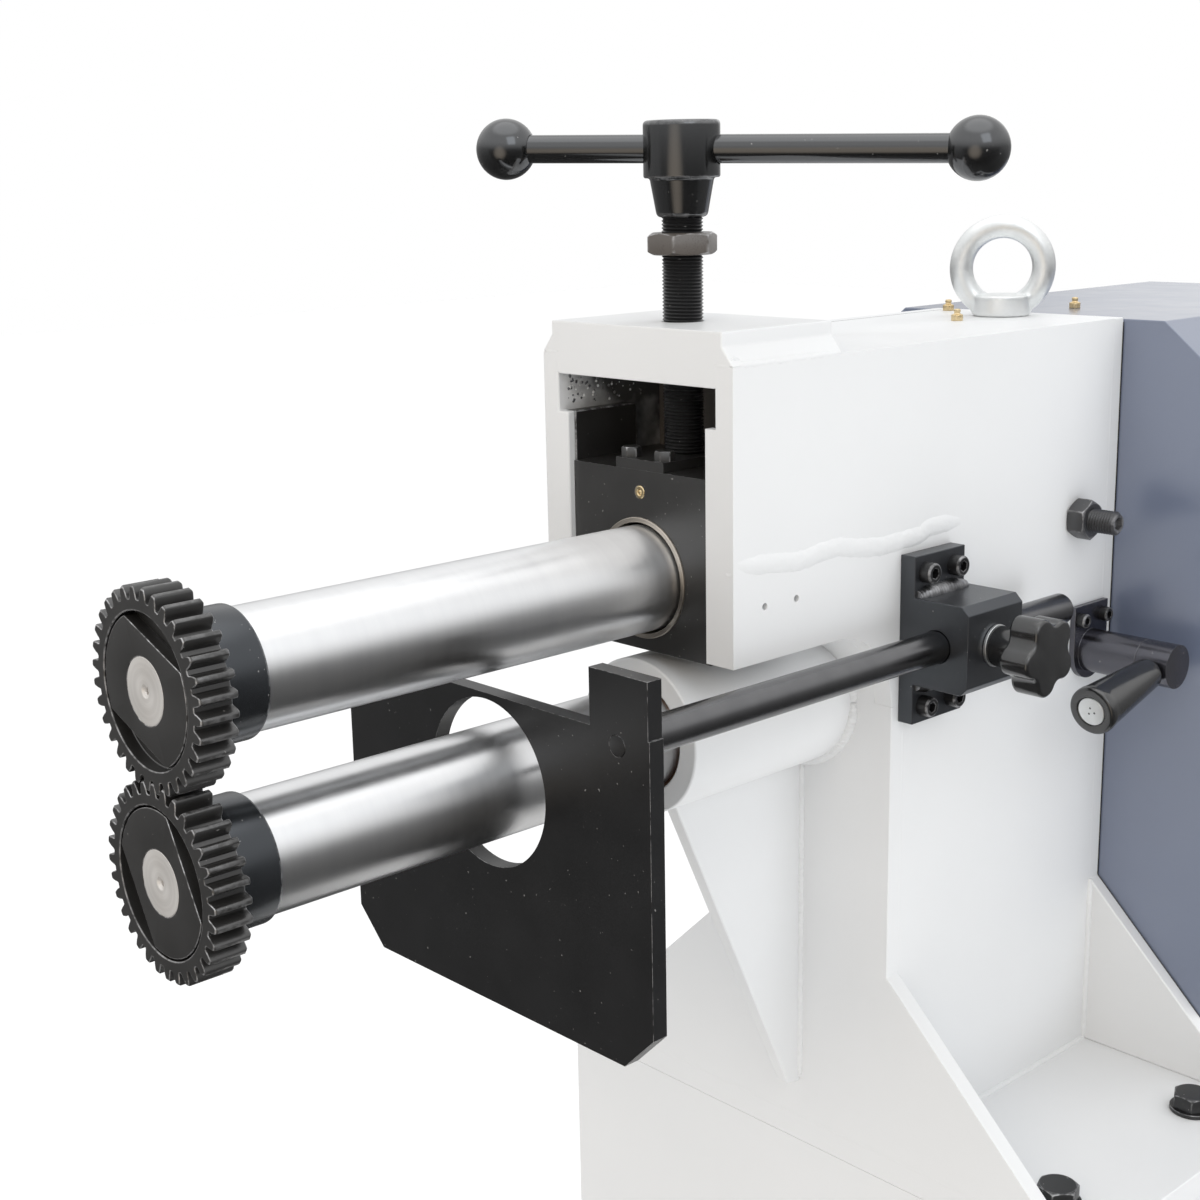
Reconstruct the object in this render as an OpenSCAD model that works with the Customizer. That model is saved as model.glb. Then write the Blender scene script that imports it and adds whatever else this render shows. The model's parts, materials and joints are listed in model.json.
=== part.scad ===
// Motor-driven swaging machine: two long overhung shafts with meshing toothed rolls on a welded
// frame, a floor stand below it and a sheet-metal drive cover behind it. Millimetres, +Z up.
// -Y is the roll end, +X is the side with the gauge clamp and the shift lever.
// The origin is on the floor, at the centre of the four floor anchors.
// The head's own datum is the upper shaft's axis at the front face of the arm.

/* [Floor stand] */
// Width of the cabinet
stand_w = 444; // [430:2:500]
// Depth of the cabinet
stand_d = 600; // [560:5:700]
// Height from the floor to the seat of the frame
stand_h = 640; // [500:5:750]
// Sheet thickness of the cabinet
stand_wall = 4; // [3:0.5:6]
// Thickness of the cabinet's top
stand_top_t = 8; // [6:1:12]
// Side of a square foot plate
foot_w = 80; // [70:2:100]
// Thickness of a foot plate
foot_t = 12; // [8:1:20]
// Hole for a floor anchor
anchor_d = 14; // [10:0.5:18]

/* [Welded frame] */
// Width of the base plate
base_w = 464; // [456:2:500]
// Thickness of the base plate
base_t = 18; // [12:1:25]
// Upper shaft axis above the top of the base plate
axis_rise = 400.5; // [380:0.5:460]
// Width over the side plates
arm_w = 155; // [150:0.5:170]
// Thickness of a side plate
side_t = 13; // [11:0.5:14]
// Front of the arm to the back of the rear plate
arm_len = 388.5; // [385:0.5:430]
// Overhang of the arm in front of the front plate
throat = 142.5; // [135:0.5:148]
// Top of the arm above the upper shaft axis
arm_up = 128.5; // [125:0.5:134]
// Underside of the arm below the upper shaft axis
arm_down = 40.5; // [40:0.5:42]
// Radius of the throat under the arm
throat_r = 53; // [45:1:60]
// Thickness of the plates that close the arm
web_t = 12; // [10:0.5:12]
// Thickness of the bent web in the throat
bend_t = 7; // [6:0.5:8]
// Thickness of the front plate
front_t = 12; // [10:0.5:16]
// Thickness of the rear plate
rear_t = 11; // [9:0.5:12]
// Reach of a plate's flared foot past the column, on each side
flare_w = 131; // [110:1:140]
// Height of the flared foot
flare_h = 126; // [110:1:150]
// Distance of the frame's bolts from the middle
base_bolt_x = 188; // [175:1:200]
// First row of frame bolts behind the front plate's face
base_bolt_in = 33.5; // [30:0.5:40]
// Second row of frame bolts in front of the rear plate's back
base_bolt_gap = 49.5; // [42.5:0.5:62.5]

/* [Bearing block and guides] */
// Clear width between the guide strips
window_w = 113; // [110:0.5:115]
// Depth of a guide strip
guide_len = 51; // [46:1:52]
// Top of the guide strips above the upper shaft axis
guide_top = 93.5; // [90:0.5:98]
// Depth of the lip in front of a guide strip
lip = 6; // [5:0.5:8]
// Front of the bearing block behind the front of the arm
block_in = 4; // [3:0.5:6]
// Depth of the bearing block
block_len = 80; // [76:1:82]
// Top of the bearing block above the shaft axis
block_up = 64; // [60:0.5:66]
// Underside of the bearing block below the shaft axis
block_down = 43; // [42:0.5:45]
// Wall of the bush in the bearing block, at its waist
block_bush_wall = 4.5; // [4:0.25:5]
// Travel of the bearing block
lift = 12; // [8:1:12]

/* [Adjusting screw] */
// Thread diameter
screw_d = 24; // [20:1:27]
// Screw axis behind the front of the arm
screw_y = 41; // [39:0.5:43]
// Width of the nut block
nut_block_w = 138.5; // [134:0.5:142]
// Depth of the nut block
nut_block_len = 92; // [88:1:96]
// Top of the nut block above the upper shaft axis
nut_block_up = 147; // [144:0.5:155]
// Roof of the window above the upper shaft axis
roof_up = 116; // [112:0.5:116]
// Leg of the weld along the nut block
weld_leg = 10.5; // [6:0.5:12]
// Thickness of the keeper plate that holds the screw in the block
keeper_t = 6; // [5:0.5:8]
// Width of the keeper plate
keeper_w = 39; // [36:1:44]

/* [T-handle] */
// Underside of the lock nut above the upper shaft axis
lock_nut_z = 185; // [182:0.5:190]
// Height of the lock nut
lock_nut_h = 12.5; // [10:0.5:13]
// Lower end of the hub's cone above the upper shaft axis
cone_z = 206; // [203:0.5:212]
// Height of the cone
cone_h = 22; // [18:0.5:26]
// Diameter at the cone's lower end
cone_d = 29; // [28:0.5:34]
// Diameter at the cone's upper end
cone_top_d = 37; // [35:0.5:42]
// Diameter of the hub
hub_d = 44; // [42:0.5:50]
// Height of the hub
hub_h = 32; // [29:0.5:40]
// Diameter of the tommy bar
bar_d = 16; // [14:0.5:18]
// Hub to the middle of the near ball
bar_short = 106; // [90:1:120]
// Hub to the middle of the far ball
bar_long = 166; // [130:1:190]
// Diameter of a ball knob
ball_d = 35; // [32:0.5:40]
// Turn of the bar from the X axis
bar_turn = 30; // [0:1:60]
// Sag of the far end in the loose cross hole
bar_sag = 1.1; // [0:0.1:1.5]

/* [Shafts] */
// Diameter of both shafts
shaft_d = 63; // [60:0.5:64]
// Front face of the rolls in front of the arm
reach = 320.5; // [300:0.5:360]
// Rear journal of the upper shaft
upper_journal_d = 40; // [36:0.5:42]
// Rear journal of the lower shaft
lower_journal_d = 45; // [40:0.5:48]
// Outside of the lower shaft's front housing
housing_d = 95; // [90:0.5:96]
// Length of the front housing
housing_len = 170; // [165:1:185]
// Wall of the front bush
front_bush_wall = 2.5; // [2:0.25:4]

/* [Rolls] */
// Module of the roll's teeth
roll_module = 3; // [2.9:0.05:3.1]
// Number of teeth on a roll
roll_teeth = 32; // [32:2:34]
// Face width of a roll
roll_w = 20.5; // [18:0.5:24]
// Diameter of the collar behind a roll
collar_d = 68; // [65:0.5:72]
// Length of the collar
collar_l = 27.5; // [22:0.5:34]
// Diameter of the recess for the roll nut
recess_d = 77.4; // [76:0.2:80]
// Depth of the recess
recess_in = 7; // [5:0.5:9]
// Seat of the roll on the shaft
seat_d = 40; // [37:0.5:44]
// Threaded end of the shaft
shaft_end_d = 33.6; // [30:0.2:36]
// Width over the flats of the roll nut
nut_flats = 53.5; // [46:0.5:60]
// Direction of the upper nut's flats
upper_flat_turn = 69; // [0:1:180]
// Direction of the lower nut's flats
lower_flat_turn = 29; // [0:1:180]

/* [Rear bearings and gears] */
// Pivot of the upper bearing cradle in front of the rear plate's back
pivot_y = 48.5; // [46.5:0.5:52.5]
// Pivot below the upper shaft axis
pivot_drop = 3; // [0:0.5:4]
// Length of the cradle
cradle_len = 50; // [44:1:52]
// Height of the cradle
cradle_h = 66; // [62:1:70]
// Thread of the pivot screws
pivot_d = 16; // [14:0.5:18]
// Diameter of the pivot screw's tip
pivot_tip_d = 12; // [10:0.5:13]
// Outside of the shift sleeve
sleeve_d = 76; // [72:0.5:78]
// Length of the shift sleeve
sleeve_len = 52; // [48:1:54]
// Outside of the rear housing
rear_housing_d = 100; // [96:0.5:102]
// Teeth of a drive gear
gear_teeth = 23; // [21:2:23]
// Face width of a drive gear
gear_w = 30; // [24:1:34]

/* [Gauge] */
// Width of the gauge plate
gauge_w = 258; // [250:1:280]
// Thickness of the gauge plate
gauge_t = 10; // [8:0.5:12]
// Face of the gauge plate in front of the arm
gauge_reach = 116.5; // [110:0.5:150]
// Top edge of the gauge plate below the upper shaft axis
gauge_top = 44; // [42:0.25:45]
// Bottom edge of the gauge plate below the upper shaft axis
gauge_bottom = 228.5; // [210:0.5:260]
// Corner cut of the gauge plate
gauge_corner = 22; // [10:1:30]
// Rise of the tab above the top edge
tab_h = 31; // [26:0.5:40]
// Width of the tab
tab_w = 43; // [40:0.5:48]
// Hole for the lower shaft
gauge_hole_d = 97; // [80:1:98]
// Diameter of the gauge rod
rod_d = 20; // [18:0.5:22]
// Riveted end of the rod
rivet_d = 12; // [10:0.5:14]
// Rear end of the rod behind the front of the arm
rod_end = 282; // [275:1:285]
// Rod axis from the side of the arm
rod_out = 28; // [26:0.5:30]
// Rod axis below the upper shaft axis
rod_drop = 51; // [49:0.5:54]

/* [Gauge clamp] */
// Front of the clamp behind the front of the arm
clamp_y = 149; // [147:0.5:152]
// Width of the clamp's flange
clamp_flange_w = 50; // [48:0.5:54]
// Height of the clamp's flange
clamp_flange_h = 106; // [102:1:112]
// Thickness of the clamp's flange
clamp_flange_t = 11; // [9:0.5:14]
// Length of the clamp block along the rod
clamp_len = 55; // [52:0.5:58]
// Height of the clamp block
clamp_h = 55; // [50:0.5:58]
// Depth of the clamp block
clamp_w = 40; // [38:0.5:44]
// Chamfer of the clamp block
clamp_chamfer = 5; // [3:0.5:8]
// Diameter of the star knob
star_d = 50; // [44:1:56]
// Thickness of the star
star_t = 21; // [16:0.5:26]
// Diameter of the knob's neck
star_neck_d = 25; // [20:0.5:28]
// Length of the neck
star_neck_l = 17; // [14:0.5:22]
// Thread of the knob
knob_thread_d = 10; // [8:0.5:12]

/* [Shift lever] */
// Lever axis in front of the rear plate's back
lever_y = 30.5; // [28.5:0.5:32.5]
// Lever axis below the lower shaft axis
lever_drop = 2; // [0:0.5:3]
// Diameter of the lever tube and hub
lever_d = 30; // [28:0.5:34]
// Flange radius round the lever axis
lever_flange_r = 20; // [19:0.5:22]
// Top of the flange above the lever axis
lever_flange_up = 33; // [31:0.5:36]
// Thickness of the flange
lever_flange_t = 4; // [3:0.5:6]
// Length of the tube from the side of the arm
lever_tube_l = 47; // [44:0.5:50]
// Length of the lever's hub
lever_hub_l = 23.5; // [22:0.5:28]
// Diameter of the lever's spindle
spindle_d = 18; // [17:0.5:20]
// Throw of the eccentric pin
throw = 4; // [2:0.25:4]
// Diameter of the eccentric pin
ecc_d = 8; // [6:0.5:8]
// Lever axis to the end of the grip
grip_reach = 86; // [70:1:110]
// Diameter at the grip's end
grip_end_d = 28; // [26:0.5:32]
// Diameter at the grip's root
grip_root_d = 21; // [19:0.5:23]
// Droop of the grip below the horizontal
grip_droop = 10; // [0:1:30]

/* [Drive cover] */
// Half width of the cover
cover_half_w = 165; // [160:1:190]
// Half width of the cover's flat top
cover_flat = 108; // [90:1:130]
// Height of the sloped shoulders
cover_slope_h = 47; // [30:1:70]
// Top of the cover below the top of the arm
cover_drop = 1; // [0:0.5:10]
// Sheet thickness of the cover
cover_wall = 2.5; // [2:0.25:3]

/* [Drive] */
// Diameter of the motor
motor_d = 125; // [110:1:135]
// Length of the motor
motor_l = 205; // [180:1:220]
// Motor axis from the middle of the machine
motor_x = 76; // [72:1:80]
// Diameter of the coupling on the lower shaft
coupling_d = 78; // [70:1:90]
// Diameter of the reducer's output shaft
output_d = 35; // [30:0.5:38]

/* [Lifting eye] */
// Thread of the eye bolt
eye_d = 20; // [16:1:22]
// Outside of the ring
ring_d = 72; // [66:1:80]
// Thickness of the ring
ring_t = 16; // [14:0.5:18]
// Diameter of the eye bolt's collar
eye_collar_d = 40; // [36:1:44]
// Eye bolt in front of the rear plate's back
eye_y = 31.5; // [28.5:1:48.5]
// Turn of the ring from the X axis
eye_turn = 35; // [0:1:90]

/* [Clearances] */
// Radial running clearance of a shaft in its bore
fit = 0.05; // [0.03:0.01:0.08]
// Gap between faces that move past each other
gap = 0.3; // [0.25:0.05:0.5]
// Radial play of a frame bolt in its hole
play = 0.75; // [0.5:0.05:1]

/* [Hidden] */
$fn = 64;
// Overlap of a cutting tool past the face it cuts, and of forms that join in one piece
cut = 1;

// Levels and stations of the head, from the upper shaft axis and the front of the arm
axis_z = stand_h + base_t + axis_rise;
arm_y = -stand_d / 2 - throat;
centres = roll_module * roll_teeth;
arm_half = arm_w / 2;
arm_in = arm_half - side_t;
window_half = window_w / 2;
flare_top = flare_h - axis_rise;
side_end = arm_len - rear_t;
bend_z = -arm_down - throat_r;
bend_y = throat - throat_r;
pivot_at = arm_len - pivot_y;
lever_at = arm_len - lever_y;
eye_at = arm_len - eye_y;
base_row_gap = arm_len - throat - base_bolt_in - base_bolt_gap;

// Stand details
hatch_w = 340;
hatch_h = 420;
hatch_z = 100;
hatch_lap = 15;
panel_t = 3;
foot_out = 20;
foot_x = stand_w / 2 + foot_out;
foot_y = stand_d / 2 - foot_w / 2;

// Frame bolts, M16 with washer and nut
m16 = 16;
m16_hole = m16 + 2 * play;
m16_flats = 24;
m16_head = 10;
m16_nut = 13;
m16_washer_d = 30;
m16_washer_t = 3;
m16_end = 4;

// Small screws
m8 = 8;
m8_head_d = 13;
m8_head = 8;
m8_key = 6;
m6 = 6;
m6_head_d = 10;
m6_head = 6;
m6_key = 5;
m6_flats = 10;
socket_in = 4;
screw_short = 1;
mount_hole_d = 4.2;
mount_hole_y = 26;
mount_hole_gap = 27;
mount_hole_drop = 8.5;

// Bearing block
block_half = window_half - gap;
block_flange_half = arm_in - gap;
block_flange_y = lip + guide_len + gap;
block_end = block_in + block_len;
bush_proud = 1;
waist_r = shaft_d / 2 + fit;
block_bush_d = 2 * (waist_r + block_bush_wall);
tilt_max = atan(lift / (pivot_at - screw_y));
rock_spare = 0.15;
rock = tilt_max + rock_spare;
bulkhead_y = block_end + gap;
slot_gap = 2.5;
slot_w = shaft_d + 2 * slot_gap;
slot_lift = (pivot_at - bulkhead_y) * tan(tilt_max);
oiler_d = 8;
oiler_in = 10;
oiler_drop = 13;
oiler_proud = 0.4;

// Adjusting screw
button_lip = 0.5;
button_d = screw_d + 2 * button_lip;
pocket_in = 10;
neck_in = 4.5;
neck_d = screw_d - 2 * neck_in;
spigot_in = 2;
spigot_d = screw_d - 2 * spigot_in;
spigot_short = 2;
keeper_half = keeper_w / 2;
keeper_slot = neck_d + 2 * gap;
keeper_bolt_x = (keeper_slot / 2 + keeper_half) / 2;
keeper_bolt_in = 7;
keeper_back = 6;
keeper_len = block_len - keeper_back;
lock_nut_flats = 1.5 * screw_d;
hub_z = cone_z + cone_h;
bar_z = hub_z + hub_h / 2;
bar_in_ball = 5;

// Front ends of the shafts
collar_y = roll_w - reach;
shoulder_y = collar_y + collar_l;
nut_gap = 1.2;
nut_d = recess_d - 2 * nut_gap;
centre_d = 9;
tip_chamfer = 1.2;
tip_over = 0.1;
roll_back = 0.25;
lower_hole = shaft_d + 2 * fit;
housing_bore = lower_hole + 2 * front_bush_wall;
front_bush_y = 3;
front_bush_l = 60;
gusset_t = 10;
gusset_y = 26;
gusset_nose = 51;
gusset_foot = 26.5;
gusset_toe = 11.5;
gusset_toe_rise = 2;

// Rear bearings and gears
cradle_gap = 4.5;
cradle_half = arm_in - cradle_gap;
cradle_y = pivot_at - cradle_len / 2;
cradle_end = pivot_at + cradle_len / 2;
cradle_bush_wall = 6;
cradle_bush_d = upper_journal_d + 2 * cradle_bush_wall;
pivot_hole = 13.5;
socket_x = cradle_half - pivot_hole;
pivot_out = 32.5;
pivot_end = arm_half + pivot_out;
pivot_lap = 3;
pivot_nut_flats = 24;
pivot_nut_t = 13;
pivot_key = 8;
sleeve_lead = 18;
sleeve_y = lever_at - sleeve_lead;
sleeve_end = sleeve_y + sleeve_len;
rear_housing_lead = 4;
rear_housing_y = sleeve_y - rear_housing_lead;
rear_housing_proud = 1.5;
rear_housing_end = arm_len + rear_housing_proud;
groove_in = 8;
pin_play = 0.15;
gear_slack = 4;
gear_module = (centres - gear_slack) / gear_teeth;
gear_gap = 13.5;
gear_y = arm_len + gear_gap;
gear_end = gear_y + gear_w;
gear_back = 0.3;
upper_boss_wall = 5;
upper_boss_d = upper_journal_d + 2 * upper_boss_wall;
lower_boss_wall = 7.5;
lower_boss_d = lower_journal_d + 2 * lower_boss_wall;
boss_gap = 5;
boss_hole_d = upper_boss_d + 2 * boss_gap;

// Gauge and clamp
rod_x = arm_half + rod_out;
tab_in = 1;
clamp_face = arm_half + clamp_flange_t;
clamp_out = clamp_face + clamp_w;
clamp_screw_in = 10;
clamp_screw_gap = 28.5;
clamp_screw_edge = 10.8;
knob_y = clamp_y + clamp_len / 2;
knob_washer_d = 26;
knob_washer_t = 2;
knob_neck_x = clamp_out + gap + knob_washer_t + gap;
star_x = knob_neck_x + star_neck_l;
lobe_r = 0.34 * star_d / 2;
lobe_at = star_d / 2 - lobe_r;
scallop_r = 0.36 * star_d / 2;
scallop_at = lobe_at * cos(36) + sqrt(pow(lobe_r + scallop_r, 2) - pow(lobe_at * sin(36), 2));

// Shift lever
lever_z = -centres - lever_drop;
lever_screw_y = 13.75;
lever_screw_up = 23.4;
lever_tube_end = arm_half + lever_tube_l;
lever_hub_x = lever_tube_end + gap;
lever_hub_mid = lever_hub_x + lever_hub_l / 2;
spindle_gap = 2;
spindle_x = sleeve_d / 2 + spindle_gap;
ecc_gap = 1;
ecc_x = sleeve_d / 2 - groove_in + ecc_gap;
axle_d = 10;
axle_in = 4;
cap_d = 16;
cap_t = 2;
grip_gap = 1.5;
grip_root = lever_d / 2 + grip_gap;

// Cover and drive
cover_y = arm_len;
cover_back = 8;
cover_d = stand_d - (arm_len - throat) - cover_back;
cover_top = arm_up - cover_drop;
cover_bottom = -axis_rise - base_t;
cover_lean = atan2(cover_slope_h, cover_half_w - cover_flat);
window_x = 58;
window_top = 45;
window_down = 64;
vent_w = 130;
vent_h = 6;
vent_gap = 16;
vent_z = -60;
vents = 7;
coupling_gap = 4;
coupling_y = gear_end + coupling_gap;
coupling_l = 64;
coupling_step = 30;
output_gap = 6;
output_y = coupling_y + coupling_step + output_gap;
reducer_gap = 6;
reducer_half_y = 45;
drive_y = coupling_y + coupling_l + reducer_gap + reducer_half_y;
reducer_x0 = -75;
reducer_side = 39;
reducer_x1 = motor_x + reducer_side;
reducer_up = 70;
reducer_down = 80;
plinth_x1 = -15;
plinth_foot = 12;
plinth_t = 14;
output_past = 10;
output_end = drive_y + output_past;
motor_cap = 30;
motor_cap_lip = 4;
motor_cap_d = motor_d + 2 * motor_cap_lip;
flange_h = 12;

// Lifting eye and nipples
eye_collar_h = 14.5;
ring_rise = 33;
eye_shank = 16;
eye_z = arm_up + ring_rise;
nipple_d = 8;
nipple_h = 8;
nipple_shank_d = 6;
nipple_in = 6;
nipple_neck_d = 4.8;
nipple_lead = 51;
nipple_side = 56;
nipple_edge = 16.5;
nipple_past = 60.5;
nipple_places = [[0, eye_at - nipple_lead, arm_up], [-nipple_side, arm_len - nipple_edge, arm_up],
    [0, arm_len + nipple_past, cover_top]];

// Colours by finish
paint = [0.88, 0.89, 0.90];
oxide = [0.14, 0.14, 0.15];
ground = [0.70, 0.70, 0.72];
bronze = [0.72, 0.52, 0.25];
slate = [0.38, 0.41, 0.48];

// Moves the head's datum to its place above the floor
module head() { translate([0, arm_y, axis_z]) children(); }

// Moves to the lower shaft's axis
module lower() { head() translate([0, 0, -centres]) children(); }

// Round bar along Y, from one station to another
module along_y(y0, y1, d) { translate([0, y0, 0]) rotate([-90, 0, 0]) cylinder(h = y1 - y0, d = d); }

// Round bar along X, from one station to another
module along_x(x0, x1, d) { translate([x0, 0, 0]) rotate([0, 90, 0]) cylinder(h = x1 - x0, d = d); }

// Plate across Y, drawn in X and Z
module plate_xz(y0, t) { translate([0, y0 + t, 0]) rotate([90, 0, 0]) linear_extrude(t) children(); }

// Plate across X, drawn in Y and Z
module plate_yz(x0, t) { translate([x0, 0, 0]) rotate([90, 0, 90]) linear_extrude(t) children(); }

// Turned form along Y, drawn as radius and station
module turned_y(y0) { translate([0, y0, 0]) rotate([-90, 0, 0]) rotate_extrude() children(); }

// Block between two corners
module box(a, b) { translate(a) cube(b - a); }

// Hexagon prism along Z, by its width over flats
module hexagon(flats, h) { cylinder(h = h, d = flats / cos(30), $fn = 6); }

// Socket-head screw along +X with its seat at x = 0
module cap_screw_x(d, head_d, head_h, key, l) {
    difference() {
        union() {
            along_x(-l, cut, d);
            along_x(0, head_h, head_d);
        }
        translate([head_h - socket_in, 0, 0]) rotate([0, 90, 0]) hexagon(key, socket_in + cut);
    }
}

// Involute function, in degrees
function involute(a) = tan(a) * 180 / PI - a;

// Half angle of a tooth at radius r, for module m, z teeth and backlash b
function half_tooth(r, m, z, b) = 90 / z - b / (m * z) * 90 / PI + involute(20)
    - involute(acos(min(1, m * z * cos(20) / 2 / r)));

// Spur gear outline with 20 degree involute teeth, one tooth standing on +Z
module spur(m, z, b) {
    root_turn = 0.6;
    root_rise = 0.2;
    rb = m * z * cos(20) / 2;
    rf = m * z / 2 - 1.25 * m;
    ra = m * z / 2 + m;
    r0 = max(rb, rf + root_rise);
    steps = 4;
    radii = [for (i = [0 : steps]) r0 + (ra - r0) * i / steps];
    polygon([for (t = [0 : z - 1]) each let (a = 90 + 360 * t / z) concat(
        [let (h = half_tooth(r0, m, z, b) + root_turn) rf * [cos(a - h), sin(a - h)]],
        [for (i = [0 : steps]) let (h = half_tooth(radii[i], m, z, b)) radii[i] * [cos(a - h), sin(a - h)]],
        [for (i = [0 : steps]) let (h = half_tooth(radii[steps - i], m, z, b))
            radii[steps - i] * [cos(a + h), sin(a + h)]],
        [let (h = half_tooth(r0, m, z, b) + root_turn) rf * [cos(a + h), sin(a + h)]])]);
}

// Four places of the frame bolts
module base_bolt_places() {
    for (sx = [-1, 1]) for (row = [0, 1])
        translate([sx * base_bolt_x, base_bolt_in - stand_d / 2 + row * base_row_gap, 0]) children();
}

// Welded cabinet, open below, with a hatch in its back
module floor_stand() {
    color(paint) difference() {
        box([-stand_w / 2, -stand_d / 2, foot_t], [stand_w / 2, stand_d / 2, stand_h]);
        box([stand_wall - stand_w / 2, stand_wall - stand_d / 2, foot_t - cut],
            [stand_w / 2 - stand_wall, stand_d / 2 - stand_wall, stand_h - stand_top_t]);
        box([-hatch_w / 2, stand_d / 2 - stand_wall - cut, hatch_z],
            [hatch_w / 2, stand_d / 2 + cut, hatch_z + hatch_h]);
        base_bolt_places() translate([0, 0, stand_h - stand_top_t - cut])
            cylinder(h = stand_top_t + 2 * cut, d = m16_hole);
    }
}

// Panel over the hatch
module stand_rear_panel() {
    color(paint) box([-hatch_w / 2 - hatch_lap, stand_d / 2, hatch_z - hatch_lap],
        [hatch_w / 2 + hatch_lap, stand_d / 2 + panel_t, hatch_z + hatch_h + hatch_lap]);
}

// Four foot plates with anchor holes
module stand_feet() {
    color(paint) for (sx = [-1, 1]) for (sy = [-1, 1]) translate([sx * foot_x, sy * foot_y, 0]) difference() {
        box([-foot_w / 2, -foot_w / 2, 0], [foot_w / 2, foot_w / 2, foot_t]);
        translate([0, 0, -cut]) cylinder(h = foot_t + 2 * cut, d = anchor_d);
    }
}

// Base plate of the welded frame
module base_plate() {
    color(paint) difference() {
        box([-base_w / 2, -stand_d / 2, stand_h],
            [base_w / 2, arm_len - throat - stand_d / 2, stand_h + base_t]);
        base_bolt_places() translate([0, 0, stand_h - cut]) cylinder(h = base_t + 2 * cut, d = m16_hole);
    }
}

// Four bolts with washers and nuts that hold the frame on the stand
module base_bolts() {
    low = stand_h - stand_top_t;
    high = stand_h + base_t;
    color(oxide) base_bolt_places() {
        translate([0, 0, low - m16_nut]) hexagon(m16_flats, m16_nut);
        translate([0, 0, low - m16_nut - m16_end])
            cylinder(h = high + m16_washer_t - low + m16_nut + m16_end + cut, d = m16);
        translate([0, 0, high]) cylinder(h = m16_washer_t, d = m16_washer_d);
        translate([0, 0, high + m16_washer_t]) hexagon(m16_flats, m16_head);
    }
}

// Outline of a column plate with its flared foot, in X and Z
module flared(top) {
    polygon([[-arm_half, top], [arm_half, top], [arm_half, flare_top], [arm_half + flare_w, -axis_rise],
        [-arm_half - flare_w, -axis_rise], [-arm_half, flare_top]]);
}

// Front plate with the bent web under the arm
module front_plate() {
    color(paint) head() difference() {
        union() {
            plate_xz(throat, front_t) flared(bend_z);
            plate_yz(-arm_in, 2 * arm_in) translate([bend_y, bend_z]) intersection() {
                difference() {
                    circle(r = throat_r + bend_t);
                    circle(r = throat_r);
                }
                square(throat_r + bend_t);
            }
        }
        translate([0, 0, -centres]) along_y(0, housing_len, housing_d);
    }
}

// Rear plate with the holes for the rear bearings
module rear_plate() {
    color(paint) head() difference() {
        plate_xz(side_end, rear_t) flared(arm_up);
        along_y(side_end - cut, arm_len + cut, boss_hole_d);
        translate([0, 0, -centres]) along_y(side_end - cut, arm_len + cut, rear_housing_d);
    }
}

// Hole through a side plate
module side_hole(y, z, d) { translate([0, y, z]) along_x(arm_in - cut, arm_half + cut, d); }

// Side plate with the arm, the throat and the lip in front of the guide strip
module side_plate() {
    difference() {
        union() {
            plate_yz(arm_in, side_t) difference() {
                union() {
                    translate([0, -arm_down]) square([side_end, arm_down + arm_up]);
                    translate([throat + front_t, -axis_rise])
                        square([side_end - throat - front_t, axis_rise]);
                    translate([bend_y, bend_z]) square([throat_r + front_t, throat_r]);
                }
                translate([bend_y, bend_z]) circle(r = throat_r);
            }
            box([window_half, 0, -arm_down], [arm_in + cut, lip, guide_top]);
        }
        side_hole(pivot_at, -pivot_drop, pivot_d);
    }
}

// Side plate away from the lever
module side_plate_left() { color(paint) head() mirror([1, 0, 0]) side_plate(); }

// Side plate that carries the clamp and the lever
module side_plate_right() {
    color(paint) head() difference() {
        side_plate();
        side_hole(lever_at, lever_z, spindle_d + 2 * gap);
        for (s = [-1, 1]) side_hole(lever_at + s * lever_screw_y, lever_z + lever_screw_up, m6);
        clamp_screw_places() along_x(arm_in - cut, arm_half + cut, m8);
        for (n = [0, 1]) side_hole(mount_hole_y + n * mount_hole_gap, -mount_hole_drop, mount_hole_d);
    }
}

// Top of the arm behind the nut block
module arm_top_plate() {
    color(paint) head() difference() {
        box([-arm_in, nut_block_len, arm_up - web_t], [arm_in, side_end, arm_up]);
        translate([0, eye_at, arm_up - web_t - cut]) cylinder(h = web_t + 2 * cut, d = eye_d);
        for (p = nipple_places) translate(p - [0, 0, web_t + cut])
            cylinder(h = web_t + 2 * cut, d = nipple_shank_d);
    }
}

// Fork-shaped wall behind the bearing block, open below for the shaft
module arm_bulkhead() {
    low = bend_t - arm_down;
    color(paint) head() plate_xz(bulkhead_y, web_t) difference() {
        translate([-arm_in, low]) square([2 * arm_in, min(roof_up, arm_up - web_t) - low]);
        translate([-slot_w / 2, low - cut]) square([slot_w, slot_lift - low + cut]);
        translate([0, slot_lift]) circle(d = slot_w);
    }
}

// Welded nut block over the window
module nut_block() {
    half = nut_block_w / 2;
    color(paint) head() difference() {
        plate_xz(0, nut_block_len) polygon([[-arm_in, roof_up], [arm_in, roof_up], [arm_in, arm_up],
            [arm_half, arm_up], [half, arm_up + weld_leg], [half, nut_block_up], [-half, nut_block_up],
            [-half, arm_up + weld_leg], [-arm_half, arm_up], [-arm_in, arm_up]]);
        translate([0, screw_y, roof_up - cut])
            cylinder(h = nut_block_up - roof_up + 2 * cut, d = screw_d + 2 * fit);
    }
}

// Two guide strips inside the side plates
module guide_strips() {
    color(oxide) head() for (s = [0, 1]) mirror([s, 0, 0])
        box([window_half, lip, -arm_down], [arm_in, lip + guide_len, guide_top]);
}

// Tube that carries the lower shaft in front
module lower_housing() {
    color(paint) lower() difference() {
        along_y(0, housing_len, housing_d);
        along_y(-cut, housing_len + cut, housing_bore);
    }
}

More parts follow.
